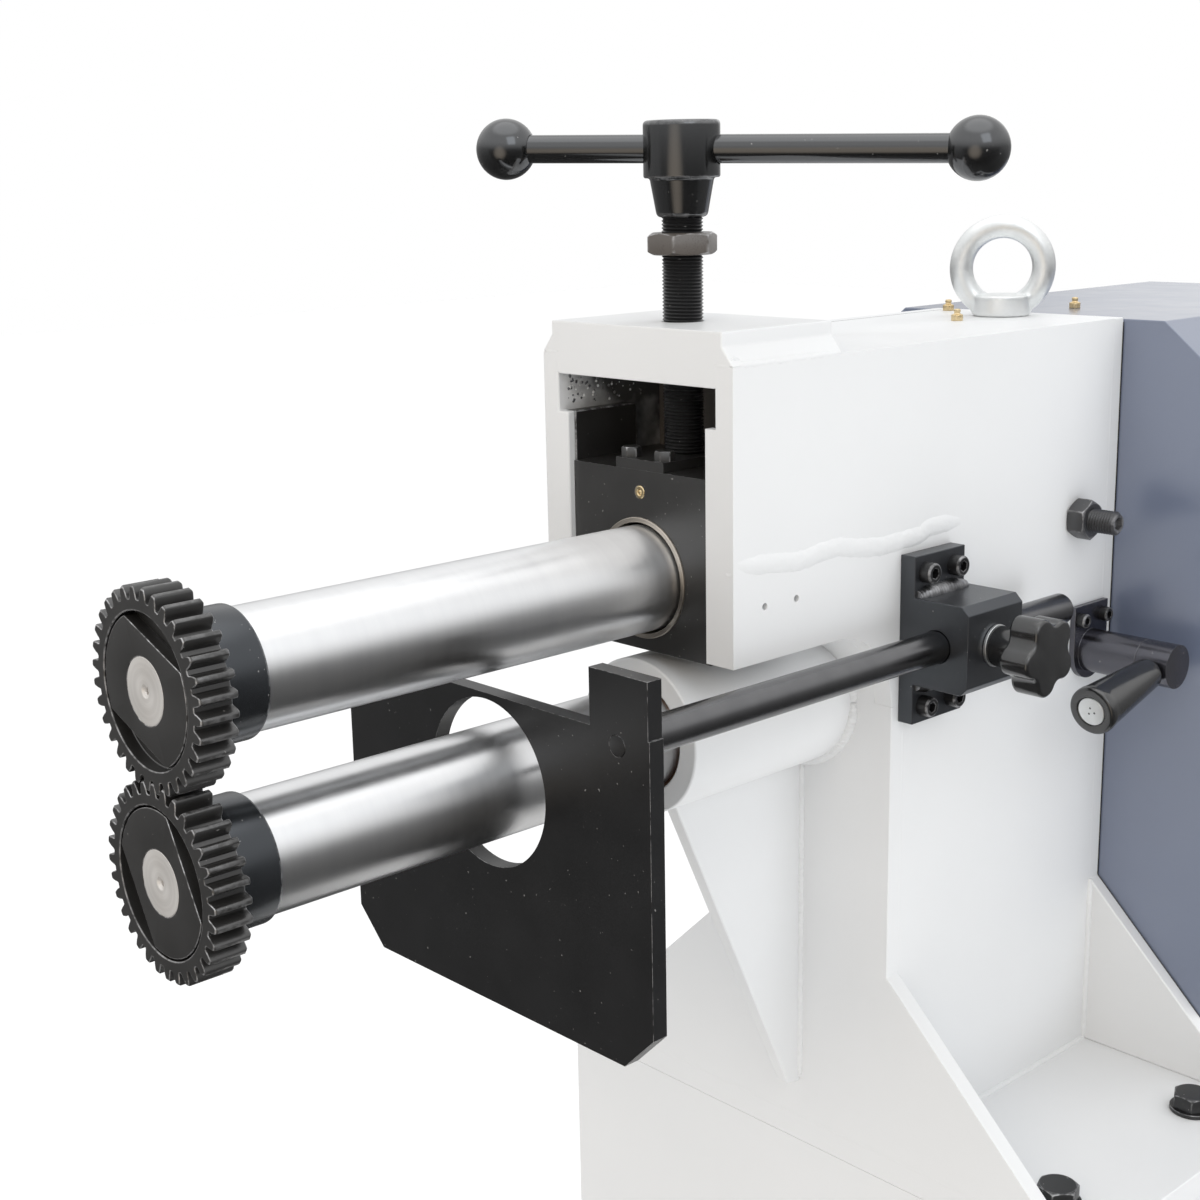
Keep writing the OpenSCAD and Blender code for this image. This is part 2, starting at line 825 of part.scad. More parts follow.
// Gusset under the lower housing
module housing_gusset() {
    color(paint) head() difference() {
        plate_yz(-gusset_t / 2, gusset_t) polygon([[gusset_y, -centres], [throat, -centres],
            [throat, gusset_foot - axis_rise],
            [throat - gusset_toe, gusset_foot + gusset_toe_rise - axis_rise],
            [gusset_y, -centres - gusset_nose]]);
        translate([0, 0, -centres]) along_y(0, housing_len, housing_d);
    }
}

// Bush in the front of the lower housing
module lower_front_bush() {
    color(bronze) lower() difference() {
        along_y(front_bush_y, front_bush_y + front_bush_l, housing_bore);
        along_y(0, front_bush_y + front_bush_l + cut, lower_hole);
    }
}

// Rear housing of the shift sleeve, with a hole for the lever's spindle
module rear_housing() {
    color(paint) head() difference() {
        translate([0, 0, -centres]) along_y(rear_housing_y, rear_housing_end, rear_housing_d);
        translate([0, 0, -centres])
            along_y(rear_housing_y - cut, rear_housing_end + cut, sleeve_d + 2 * fit);
        translate([0, lever_at, lever_z]) along_x(0, rear_housing_d / 2 + cut, spindle_d + 2 * fit);
    }
}

// Eye bolt in the top of the arm
module eye_bolt() {
    color(ground) head() translate([0, eye_at, 0]) {
        translate([0, 0, arm_up - eye_shank]) cylinder(h = eye_shank + cut, d = eye_d);
        difference() {
            union() {
                translate([0, 0, arm_up]) cylinder(h = eye_collar_h, d = eye_collar_d);
                translate([0, 0, eye_z]) rotate([90, 0, eye_turn]) rotate_extrude()
                    translate([(ring_d - ring_t) / 2, 0]) circle(d = ring_t);
            }
            translate([0, 0, arm_up - ring_d]) cylinder(h = ring_d, d = ring_d);
        }
    }
}

// Three grease nipples
module grease_nipples() {
    color(bronze) head() for (p = nipple_places) translate(p) {
        translate([0, 0, -nipple_in]) cylinder(h = nipple_in + cut, d = nipple_shank_d);
        cylinder(h = nipple_h / 2, d = nipple_d);
        cylinder(h = nipple_h, d = nipple_neck_d);
    }
}

// Two pivot screws of the cradle
module trunnion_screws() {
    color(oxide) head() for (s = [0, 1]) mirror([s, 0, 0]) translate([0, pivot_at, -pivot_drop])
        difference() {
            union() {
                along_x(socket_x + gap, arm_in, pivot_tip_d);
                along_x(arm_in - pivot_lap, pivot_end, pivot_d);
            }
            translate([pivot_end - socket_in, 0, 0]) rotate([0, 90, 0]) hexagon(pivot_key, socket_in + cut);
        }
}

// Two lock nuts of the pivot screws
module trunnion_nuts() {
    color(oxide) head() for (s = [0, 1]) mirror([s, 0, 0]) translate([arm_half, pivot_at, -pivot_drop])
        difference() {
            rotate([0, 90, 0]) hexagon(pivot_nut_flats, pivot_nut_t);
            along_x(-cut, pivot_nut_t + cut, pivot_d);
        }
}

// Four places of the clamp's screws, on the side of the arm
module clamp_screw_places() {
    reach_z = clamp_flange_h / 2 - clamp_screw_edge;
    for (n = [0, 1]) for (s = [-1, 1])
        translate([0, clamp_y + clamp_screw_in + n * clamp_screw_gap, s * reach_z - rod_drop]) children();
}

// Clamp block with its flange
module clamp_bracket() {
    c = clamp_chamfer;
    color(oxide) head() difference() {
        union() {
            box([arm_half, clamp_y, -rod_drop - clamp_flange_h / 2],
                [clamp_face, clamp_y + clamp_flange_w, clamp_flange_h / 2 - rod_drop]);
            intersection() {
                plate_xz(clamp_y, clamp_len) translate([clamp_face, -rod_drop]) polygon([[0, -clamp_h / 2],
                    [clamp_w - c, -clamp_h / 2], [clamp_w, c - clamp_h / 2], [clamp_w, clamp_h / 2 - c],
                    [clamp_w - c, clamp_h / 2], [0, clamp_h / 2]]);
                translate([clamp_face, clamp_y, -rod_drop - clamp_h]) linear_extrude(2 * clamp_h)
                    polygon([[0, 0], [clamp_w - c, 0], [clamp_w, c], [clamp_w, clamp_len - c],
                        [clamp_w - c, clamp_len], [0, clamp_len]]);
            }
        }
        translate([rod_x, 0, -rod_drop]) along_y(clamp_y - cut, clamp_y + clamp_len + cut, rod_d + 2 * fit);
        translate([0, knob_y, -rod_drop]) along_x(rod_x, clamp_out + cut, knob_thread_d + 2 * fit);
        clamp_screw_places() along_x(arm_half - cut, clamp_face + cut, m8);
    }
}

// Four socket-head screws of the clamp
module clamp_screws() {
    color(oxide) head() clamp_screw_places() translate([clamp_face, 0, 0])
        cap_screw_x(m8, m8_head_d, m8_head, m8_key, clamp_flange_t + side_t - screw_short);
}

// Flange and tube of the shift lever
module lever_flange() {
    color(oxide) head() translate([0, lever_at, lever_z]) difference() {
        union() {
            plate_yz(arm_half, lever_flange_t) {
                circle(r = lever_flange_r);
                translate([-lever_flange_r, 0]) square([2 * lever_flange_r, lever_flange_up]);
            }
            along_x(arm_half, lever_tube_end, lever_d);
        }
        along_x(arm_half - cut, lever_tube_end + cut, spindle_d + 2 * fit);
        for (s = [-1, 1]) translate([0, s * lever_screw_y, lever_screw_up])
            along_x(arm_half - cut, arm_half + lever_flange_t + cut, m6);
    }
}

// Two socket-head screws of the lever's flange
module lever_flange_screws() {
    color(oxide) head() for (s = [-1, 1])
        translate([arm_half + lever_flange_t, lever_at + s * lever_screw_y, lever_z + lever_screw_up])
            cap_screw_x(m6, m6_head_d, m6_head, m6_key, lever_flange_t + side_t - screw_short);
}

// Outline of the cover, drawn in by t, in X and Z
module cover_outline(t) {
    w = cover_half_w - t;
    flat = cover_flat - t * tan(cover_lean / 2);
    shoulder = cover_top - cover_slope_h - t * tan(45 - cover_lean / 2);
    polygon([[-w, cover_bottom - (t > 0 ? cut : 0)], [w, cover_bottom - (t > 0 ? cut : 0)], [w, shoulder],
        [flat, cover_top - t], [-flat, cover_top - t], [-w, shoulder]]);
}

// Sheet-metal drive cover with a front window and rear vents
module rear_cover() {
    back = cover_y + cover_d - cover_wall;
    color(slate) head() difference() {
        plate_xz(cover_y, cover_d) cover_outline(0);
        plate_xz(cover_y + cover_wall, cover_d - 2 * cover_wall) cover_outline(cover_wall);
        box([-window_x, cover_y - cut, -centres - window_down],
            [window_x, cover_y + cover_wall + cut, window_top]);
        for (n = [0 : vents - 1]) box([-vent_w / 2, back - cut, vent_z - n * vent_gap],
            [vent_w / 2, back + cover_wall + cut, vent_z - n * vent_gap + vent_h]);
        translate([0, 0, cover_top - cover_wall - cut] + [0, nipple_places[2][1], 0])
            cylinder(h = cover_wall + 2 * cut, d = nipple_shank_d);
    }
}

// Worm reducer on its plinth
module gear_reducer() {
    color(slate) head() difference() {
        union() {
            box([reducer_x0, drive_y - reducer_half_y, -centres - reducer_down],
                [reducer_x1, drive_y + reducer_half_y, reducer_up - centres]);
            box([reducer_x0, drive_y - reducer_half_y, cover_bottom],
                [plinth_x1, drive_y + reducer_half_y, -centres]);
            box([reducer_x0 - plinth_foot, drive_y - reducer_half_y, cover_bottom],
                [plinth_x1 + plinth_foot, drive_y + reducer_half_y, cover_bottom + plinth_t]);
        }
        translate([0, 0, -centres])
            along_y(drive_y - reducer_half_y - cut, output_end + gap, output_d + 2 * fit);
    }
}

// Flange motor hanging under the reducer
module drive_motor() {
    top = -centres - reducer_down;
    color(slate) head() translate([motor_x, drive_y, top]) {
        translate([0, 0, -flange_h]) cylinder(h = flange_h, d = motor_cap_d);
        translate([0, 0, -motor_l]) cylinder(h = motor_l, d = motor_d);
        translate([0, 0, -motor_l]) cylinder(h = motor_cap, d = motor_cap_d);
    }
}

// Sliding bearing block of the upper shaft
module bearing_block() {
    color(oxide) head() difference() {
        union() {
            box([-block_half, block_in, -block_down], [block_half, block_end, block_up]);
            box([-block_flange_half, block_flange_y, -block_down], [block_flange_half, block_end, block_up]);
        }
        along_y(block_in - cut, block_end + cut, block_bush_d);
        translate([0, screw_y, block_up - pocket_in]) cylinder(h = pocket_in + cut, d = button_d + 2 * gap);
        translate([0, 0, block_up - oiler_drop]) along_y(block_in - cut, block_in + oiler_in, oiler_d);
        keeper_bolt_places() translate([0, 0, block_up - 2 * m6]) cylinder(h = 2 * m6 + cut, d = m6);
    }
}

// Bush with a double-cone bore, so that the shaft can rock as the block rises
module block_bush() {
    front = screw_y - block_in + bush_proud;
    back = block_end - screw_y;
    color(bronze) head() turned_y(screw_y) polygon([[waist_r, 0], [waist_r + back * tan(rock), back],
        [block_bush_d / 2, back], [block_bush_d / 2, -front], [waist_r + front * tan(rock), -front]]);
}

// Four places of the keeper's bolts
module keeper_bolt_places() {
    for (s = [-1, 1]) for (y = [keeper_bolt_in, keeper_len - keeper_bolt_in])
        translate([s * keeper_bolt_x, block_in + y, 0]) children();
}

// Forked plate that holds the screw's button in the block
module keeper_plate() {
    color(oxide) head() difference() {
        box([-keeper_half, block_in, block_up], [keeper_half, block_in + keeper_len, block_up + keeper_t]);
        translate([0, screw_y, block_up - cut]) cylinder(h = keeper_t + 2 * cut, d = keeper_slot);
        box([-keeper_slot / 2, screw_y, block_up - cut],
            [keeper_slot / 2, block_end + cut, block_up + keeper_t + cut]);
        keeper_bolt_places() translate([0, 0, block_up - cut]) cylinder(h = keeper_t + 2 * cut, d = m6);
    }
}

// Four hexagon bolts of the keeper plate
module keeper_bolts() {
    color(oxide) head() keeper_bolt_places() {
        translate([0, 0, block_up - 2 * m6 + cut]) cylinder(h = 2 * m6 + keeper_t, d = m6);
        translate([0, 0, block_up + keeper_t]) hexagon(m6_flats, m6_head);
    }
}

// Press-in oiler in the block's face
module block_oiler() {
    color(bronze) head() translate([0, 0, block_up - oiler_drop])
        along_y(block_in - oiler_proud, block_in + oiler_in, oiler_d);
}

// Adjusting screw with its button, neck and spigot
module adjusting_screw() {
    button_z = block_up - pocket_in + gap;
    neck_z = block_up - gap;
    thread_z = block_up + keeper_t + gap;
    color(oxide) head() translate([0, screw_y, 0]) {
        translate([0, 0, button_z]) cylinder(h = neck_z - button_z, d = button_d);
        translate([0, 0, button_z]) cylinder(h = cone_z - button_z, d = neck_d);
        translate([0, 0, thread_z]) cylinder(h = cone_z - thread_z, d = screw_d);
        translate([0, 0, thread_z]) cylinder(h = hub_z - spigot_short - thread_z, d = spigot_d);
    }
}

// Turns to the tommy bar's axis, with the bar along X
module on_bar() { head() translate([0, screw_y, bar_z]) rotate([0, bar_sag, bar_turn]) children(); }

// Hub of the T-handle with its cross hole
module handle_hub() {
    color(oxide) difference() {
        head() translate([0, screw_y, 0]) difference() {
            union() {
                translate([0, 0, cone_z]) cylinder(h = cone_h, d1 = cone_d, d2 = cone_top_d);
                translate([0, 0, cone_z]) cylinder(h = cone_h + hub_h, d = cone_d);
                translate([0, 0, hub_z]) cylinder(h = hub_h, d = hub_d);
            }
            translate([0, 0, cone_z - cut]) cylinder(h = cone_h - spigot_short + cut, d = spigot_d);
        }
        on_bar() along_x(-hub_d, hub_d, bar_d + 2 * fit);
    }
}

// Loose cross bar
module tommy_bar() {
    color(oxide) on_bar() along_x(-bar_short - bar_in_ball, bar_long + bar_in_ball, bar_d);
}

// Two ball knobs on the bar
module ball_knobs() {
    color(oxide) on_bar() for (x = [-bar_short, bar_long]) translate([x, 0, 0]) mirror([x > 0 ? 1 : 0, 0, 0])
        rotate([0, 90, 0]) rotate_extrude() difference() {
            intersection() {
                circle(d = ball_d);
                translate([0, -ball_d]) square(2 * ball_d);
            }
            translate([0, -bar_in_ball - gap]) square([bar_d / 2 + fit, ball_d]);
        }
}

// Thin lock nut on the screw
module lock_nut() {
    color(oxide) head() translate([0, screw_y, lock_nut_z]) difference() {
        hexagon(lock_nut_flats, lock_nut_h);
        translate([0, 0, -cut]) cylinder(h = lock_nut_h + 2 * cut, d = screw_d + 2 * fit);
    }
}

// Rocking cradle of the upper shaft's rear bearing
module rear_cradle() {
    color(oxide) head() difference() {
        box([-cradle_half, cradle_y, -cradle_h / 2], [cradle_half, cradle_end, cradle_h / 2]);
        along_y(cradle_y - cut, cradle_end + cut, cradle_bush_d);
        for (s = [0, 1]) mirror([s, 0, 0]) translate([0, pivot_at, -pivot_drop])
            along_x(socket_x, cradle_half + cut, pivot_tip_d + 2 * fit);
    }
}

// Bush in the cradle
module cradle_bush() {
    color(bronze) head() difference() {
        along_y(cradle_y, cradle_end, cradle_bush_d);
        along_y(cradle_y - cut, cradle_end + cut, upper_journal_d + 2 * fit);
    }
}

// Front end of a shaft: threaded end, seat and full diameter up to a station
module shaft_front(end) {
    difference() {
        union() {
            along_y(gap - reach, shoulder_y + cut, shaft_end_d);
            along_y(recess_in - reach, shoulder_y + cut, seat_d);
            along_y(shoulder_y, end, shaft_d);
        }
        translate([0, -reach, 0]) rotate([-90, 0, 0]) cylinder(h = centre_d / 2, d1 = centre_d, d2 = 0);
    }
}

// Upper shaft
module upper_shaft() {
    color(ground) head() {
        shaft_front(cradle_y - gap);
        along_y(shoulder_y, gear_end, upper_journal_d);
    }
}

// Lower shaft
module lower_shaft() {
    color(ground) lower() {
        shaft_front(sleeve_y - gap);
        along_y(shoulder_y, coupling_y + coupling_step, lower_journal_d);
    }
}

// Toothed roll with the recess for its nut
module roll(turn) {
    tip = roll_module * (roll_teeth + 2) / 2;
    low = tip - tip_chamfer;
    difference() {
        intersection() {
            plate_xz(-reach, roll_w) rotate(turn) spur(roll_module, roll_teeth, roll_back);
            turned_y(-reach) polygon([[0, 0], [low, 0], [tip + tip_over, tip_chamfer + tip_over],
                [tip + tip_over, roll_w - tip_chamfer - tip_over], [low, roll_w], [0, roll_w]]);
        }
        along_y(-reach - cut, recess_in - reach, recess_d);
        along_y(-reach, collar_y + cut, seat_d);
    }
}

// Upper roll, turned half a pitch
module upper_roll() { color(oxide) head() roll(180 / roll_teeth); }

// Lower roll
module lower_roll() { color(oxide) lower() roll(0); }

// Collar behind a roll
module collar() {
    color(oxide) difference() {
        along_y(collar_y, shoulder_y, collar_d);
        along_y(collar_y - cut, shoulder_y + cut, seat_d);
    }
}

// Collar of the upper roll
module upper_collar() { head() collar(); }

// Collar of the lower roll
module lower_collar() { lower() collar(); }

// Round nut with two flats in the roll's recess
module roll_nut(turn) {
    color(oxide) difference() {
        plate_xz(gap - reach, recess_in - gap) intersection() {
            circle(d = nut_d);
            rotate(turn) square([nut_flats, 2 * nut_d], center = true);
        }
        along_y(-reach - cut, recess_in - reach + cut, shaft_end_d);
    }
}

// Nut of the upper roll
module upper_roll_nut() { head() roll_nut(upper_flat_turn); }

// Nut of the lower roll
module lower_roll_nut() { lower() roll_nut(lower_flat_turn); }

// Drive gear with a boss towards its bearing
module drive_gear(boss_y, boss_d, bore_d) {
    color(oxide) difference() {
        union() {
            plate_xz(gear_y, gear_w) spur(gear_module, gear_teeth, gear_back);
            along_y(boss_y, gear_end, boss_d);
        }
        along_y(boss_y - cut, gear_end + cut, bore_d);
    }
}

// Gear of the upper shaft
module upper_gear() { head() drive_gear(cradle_end + gap, upper_boss_d, upper_journal_d); }

// Gear of the lower shaft
module lower_gear() { lower() drive_gear(sleeve_end + gap, lower_boss_d, lower_journal_d); }

// Sleeve that the lever's pin shifts along the lower axis
module shift_sleeve() {
    half = ecc_d / 2 + pin_play;
    color(ground) lower() difference() {
        along_y(sleeve_y, sleeve_end, sleeve_d);
        along_y(sleeve_y - cut, sleeve_end + cut, lower_journal_d + 2 * fit);
        difference() {
            along_y(lever_at - half, lever_at + half, sleeve_d + 2 * cut);
            along_y(lever_at - half - cut, lever_at + half + cut, sleeve_d - 2 * groove_in);
        }
    }
}

// Coupling between the lower shaft and the reducer
module shaft_coupling() {
    color(oxide) lower() difference() {
        along_y(coupling_y, coupling_y + coupling_l, coupling_d);
        along_y(coupling_y - cut, coupling_y + coupling_step, lower_journal_d);
        along_y(coupling_y, coupling_y + coupling_l + cut, output_d + 2 * fit);
    }
}

// Output shaft of the reducer
module output_shaft() { color(ground) lower() along_y(output_y, output_end, output_d); }

// Gauge plate with its tab and the hole for the lower shaft
module gauge_plate() {
    half = gauge_w / 2;
    c = gauge_corner;
    color(oxide) head() plate_xz(-gauge_reach, gauge_t) difference() {
        union() {
            polygon([[-half, -gauge_top], [-half, c - gauge_bottom], [c - half, -gauge_bottom],
                [half - c, -gauge_bottom], [half, c - gauge_bottom], [half, -gauge_top]]);
            translate([half - tab_in - tab_w, -gauge_top - tab_h]) square([tab_w, 2 * tab_h]);
        }
        translate([0, -centres]) circle(d = gauge_hole_d);
        translate([rod_x, -rod_drop]) circle(d = rivet_d);
    }
}

// Gauge rod, riveted into the plate
module gauge_rod() {
    color(oxide) head() translate([rod_x, 0, -rod_drop]) {
        along_y(-gauge_reach, rod_end, rivet_d);
        along_y(gauge_t - gauge_reach, rod_end, rod_d);
    }
}

// Washer under the star knob
module knob_washer() {
    color(ground) head() translate([clamp_out + gap, knob_y, -rod_drop]) difference() {
        along_x(0, knob_washer_t, knob_washer_d);
        along_x(-cut, knob_washer_t + cut, knob_thread_d + 2 * fit);
    }
}

// Five-lobed star knob with its stud
module star_knob() {
    color(oxide) head() translate([0, knob_y, -rod_drop]) {
        along_x(rod_x + rod_d / 2 + gap, star_x, knob_thread_d);
        along_x(knob_neck_x, star_x + cut, star_neck_d);
        plate_yz(star_x, star_t) {
            difference() {
                polygon([for (i = [0 : 9]) (i % 2 == 0 ? lobe_at : scallop_at)
                    * [cos(90 + 36 * i), sin(90 + 36 * i)]]);
                for (i = [0 : 4]) rotate(126 + 72 * i) translate([scallop_at, 0]) circle(r = scallop_r);
            }
            for (i = [0 : 4]) rotate(90 + 72 * i) translate([lobe_at, 0]) circle(r = lobe_r);
        }
    }
}

// Moves to the lever's axis
module on_lever() { head() translate([0, lever_at, lever_z]) children(); }

// Round form along the grip, from the lever's axis outwards
module along_grip(r0, r1, d0, d1) {
    translate([lever_hub_mid, 0, 0]) rotate([90 + grip_droop, 0, 0]) translate([0, 0, r0])
        cylinder(h = r1 - r0, d1 = d0, d2 = d1);
}

// Lever's hub with its spindle and eccentric pin
module lever_hub() {
    color(oxide) on_lever() difference() {
        union() {
            along_x(lever_hub_x, lever_hub_x + lever_hub_l, lever_d);
            along_x(spindle_x, lever_hub_x + cut, spindle_d);
            translate([0, 0, throw]) along_x(ecc_x, spindle_x + cut, ecc_d);
        }
        along_grip(axle_in, lever_d, axle_d, axle_d);
    }
}

// Axle of the grip with its end cap
module grip_axle() {
    color(ground) on_lever() {
        along_grip(axle_in, grip_reach, axle_d, axle_d);
        along_grip(grip_reach - cap_t, grip_reach, cap_d, cap_d);
    }
}

// Revolving grip
module lever_grip() {
    recess = grip_reach - cap_t - gap;
    color(oxide) on_lever() difference() {
        along_grip(grip_root, grip_reach, grip_root_d, grip_end_d);
        along_grip(grip_root - cut, grip_reach, axle_d + 2 * fit, axle_d + 2 * fit);
        along_grip(recess, grip_reach + cut, cap_d + 2 * gap, cap_d + 2 * gap);
    }
}

floor_stand();
stand_rear_panel();
stand_feet();
base_plate();
base_bolts();
front_plate();
rear_plate();
side_plate_left();
side_plate_right();
arm_top_plate();
arm_bulkhead();
nut_block();
guide_strips();
lower_housing();
housing_gusset();
lower_front_bush();
rear_housing();
eye_bolt();
grease_nipples();
trunnion_screws();
trunnion_nuts();
clamp_bracket();
clamp_screws();
lever_flange();
lever_flange_screws();
rear_cover();
gear_reducer();
drive_motor();
bearing_block();
block_bush();
keeper_plate();
keeper_bolts();
block_oiler();
adjusting_screw();
handle_hub();
tommy_bar();
ball_knobs();
lock_nut();
rear_cradle();
cradle_bush();
upper_shaft();
upper_roll();
upper_collar();
upper_roll_nut();
upper_gear();
shift_sleeve();
lower_shaft();
lower_roll();
lower_collar();
lower_roll_nut();
lower_gear();
shaft_coupling();
output_shaft();
gauge_plate();
gauge_rod();
knob_washer();
star_knob();
lever_hub();
grip_axle();
lever_grip();
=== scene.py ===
# %% [markdown]
# # Dressing a swaging machine
# A swaging machine presses beads and steps into sheet metal between two meshing toothed rolls.
# Its solids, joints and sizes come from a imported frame, which this lesson only reads.
# Here every solid gets its finish, its rounded edges, its threads and its welds.

# %% Load the frame
import json
import math
import random
import bmesh
import bpy
from mathutils import Matrix, Vector

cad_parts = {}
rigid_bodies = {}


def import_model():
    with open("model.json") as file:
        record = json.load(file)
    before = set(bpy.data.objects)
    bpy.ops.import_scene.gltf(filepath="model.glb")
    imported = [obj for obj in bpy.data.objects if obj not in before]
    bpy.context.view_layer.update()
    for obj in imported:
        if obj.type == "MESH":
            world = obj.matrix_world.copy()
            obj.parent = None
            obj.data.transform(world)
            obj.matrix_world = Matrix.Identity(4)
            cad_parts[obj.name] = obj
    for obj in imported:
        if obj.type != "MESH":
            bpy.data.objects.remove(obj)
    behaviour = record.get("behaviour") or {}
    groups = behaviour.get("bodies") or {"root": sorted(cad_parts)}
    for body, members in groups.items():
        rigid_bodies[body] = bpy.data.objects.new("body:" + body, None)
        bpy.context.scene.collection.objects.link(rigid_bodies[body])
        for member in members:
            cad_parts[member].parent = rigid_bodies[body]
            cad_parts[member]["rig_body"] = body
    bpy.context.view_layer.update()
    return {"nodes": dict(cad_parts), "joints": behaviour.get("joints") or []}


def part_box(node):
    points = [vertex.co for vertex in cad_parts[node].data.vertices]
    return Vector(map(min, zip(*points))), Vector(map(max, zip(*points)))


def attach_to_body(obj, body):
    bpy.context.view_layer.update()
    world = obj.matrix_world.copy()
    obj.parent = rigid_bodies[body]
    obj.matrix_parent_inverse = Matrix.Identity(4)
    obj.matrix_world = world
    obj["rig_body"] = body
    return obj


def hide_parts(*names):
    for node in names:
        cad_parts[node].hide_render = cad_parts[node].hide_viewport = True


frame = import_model()
MM = 0.001
JOINTS = {joint["name"]: joint for joint in frame["joints"]}


def axis_point(name):
    """A point on a joint's axis."""
    return Vector(JOINTS[name]["pos_m"])


ARM_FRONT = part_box("side_plate_right")[0].y
UPPER_AXIS = axis_point("upper_spin").z
LOWER_AXIS = axis_point("lower_spin").z
HEAD = Vector((0, ARM_FRONT, UPPER_AXIS))


def at(x, y, z):
    """A place on the head in millimetres from the upper axis at the front of the arm."""
    return HEAD + Vector((x, y, z)) * MM


# %% [markdown]
# ## Camera
# A photograph of a machine has straight edges in three directions, and those fix the camera.
# The lens is a little off the middle of the picture, which Blender calls shift.

# %% Camera
PICTURE_SIDE = 1200
FOCAL_PIXELS = 1810.45
MIDDLE_PIXEL = Vector((593.24, 594.68))
SENSOR = 36.0
CAMERA_PLACE = Vector((0.7444, -1.1581, 1.2935))
CAMERA_TURN = math.radians(47.53)
CAMERA_DOWN = math.radians(13.29)
CAMERA_ROLL = math.radians(-1.18)


def link_object(name, data):
    """A mesh, lamp or camera in the scene."""
    thing = bpy.data.objects.new(name, data)
    bpy.context.scene.collection.objects.link(thing)
    return thing


forward = Vector((-math.sin(CAMERA_TURN) * math.cos(CAMERA_DOWN),
                  math.cos(CAMERA_TURN) * math.cos(CAMERA_DOWN), -math.sin(CAMERA_DOWN)))
level = Vector((math.cos(CAMERA_TURN), math.sin(CAMERA_TURN), 0))
upright = level.cross(forward)
right = math.cos(CAMERA_ROLL) * level + math.sin(CAMERA_ROLL) * upright
up = math.cos(CAMERA_ROLL) * upright - math.sin(CAMERA_ROLL) * level

lens = bpy.data.cameras.new("photo_lens")
lens.sensor_width = SENSOR
lens.lens = FOCAL_PIXELS / PICTURE_SIDE * SENSOR
lens.shift_x = (PICTURE_SIDE / 2 - MIDDLE_PIXEL.x) / PICTURE_SIDE
lens.shift_y = (MIDDLE_PIXEL.y - PICTURE_SIDE / 2) / PICTURE_SIDE
lens.clip_end = 50
camera = link_object("photo_camera", lens)
camera.matrix_world = Matrix.Translation(CAMERA_PLACE) @ Matrix((right, up, -forward)).transposed().to_4x4()
bpy.context.scene.camera = camera
print("lens", round(lens.lens, 2), "mm")

# %% [markdown]
# ## Studio
# The machine stands on a pale floor in a white studio. Most of the light comes from a white sky,
# and a few soft boxes add highlights. Steel only looks like steel when it mirrors bright and dark things,
# so the sky fades to a dark ground at the level of the eye. The pale floor lights the machine
# from below but stays out of its reflections, which show that dark ground instead. In front of the machine
# the ground is darker still and holds one warm glow, which makes upright round pieces read as round.
# A paler patch of sky low behind the machine lies on the top of the drive cover.

# %% Helpers for node trees
def set_inputs(tree, node, inputs):
    """Gives each input of a node a value, or the output that feeds it."""
    for key, value in inputs.items():
        if isinstance(value, bpy.types.NodeSocket):
            tree.links.new(value, node.inputs[key])
        else:
            node.inputs[key].default_value = value


def add(tree, kind, inputs=None, **settings):
    """Adds a node with its settings and its inputs."""
    node = tree.nodes.new(kind)
    for key, value in settings.items():
        setattr(node, key, value)
    set_inputs(tree, node, inputs or {})
    return node


def calc(tree, operation, *values):
    """A Math node on numbers or outputs."""
    return add(tree, "ShaderNodeMath", dict(enumerate(values)), operation=operation).outputs["Value"]


def ramp(tree, value, stops):
    """Colours along a value, from a list of places and colours."""
    node = add(tree, "ShaderNodeValToRGB", {"Fac": value})
    marks = node.color_ramp.elements
    while len(marks) < len(stops):
        marks.new(0.5)
    for mark, (place, colour) in zip(marks, stops):
        mark.position = place
        mark.color = (*colour, 1.0)
    return node.outputs["Color"]


def grey(shade):
    """A grey of that shade."""
    return (shade, shade, shade)


# %% Studio sky
SKY_STRENGTH = 1.1
SKY_SHADES = [(0.0, 0.11), (0.06, 0.06), (0.27, 0.12), (0.39, 0.19), (0.52, 0.34), (0.62, 0.74), (0.71, 0.95),
              (1.0, 1.0)]
FRONT_WAY = (0.72, -0.66, 0.23)
FRONT_DIM = -0.5
ZENITH_LIFT = 0.6
BACK_WAY = (-0.37, 0.92, 0.115)
BACK_LIFT = 0.72
GLOW_WAY = (0.39, -0.89, -0.23)
GLOW_TINT = (1.0, 0.86, 0.70, 1.0)
GLOW_STRENGTH = 0.9


def along_way(tree, ray_way, way, low, high):
    """One for rays along a direction, fading to nothing between two cosines."""
    angle = add(tree, "ShaderNodeVectorMath", {0: ray_way, 1: Vector(way).normalized()},
                operation="DOT_PRODUCT")
    return add(tree, "ShaderNodeMapRange", {"Value": angle.outputs["Value"], "From Min": low, "From Max": high},
               interpolation_type="SMOOTHSTEP").outputs["Result"]


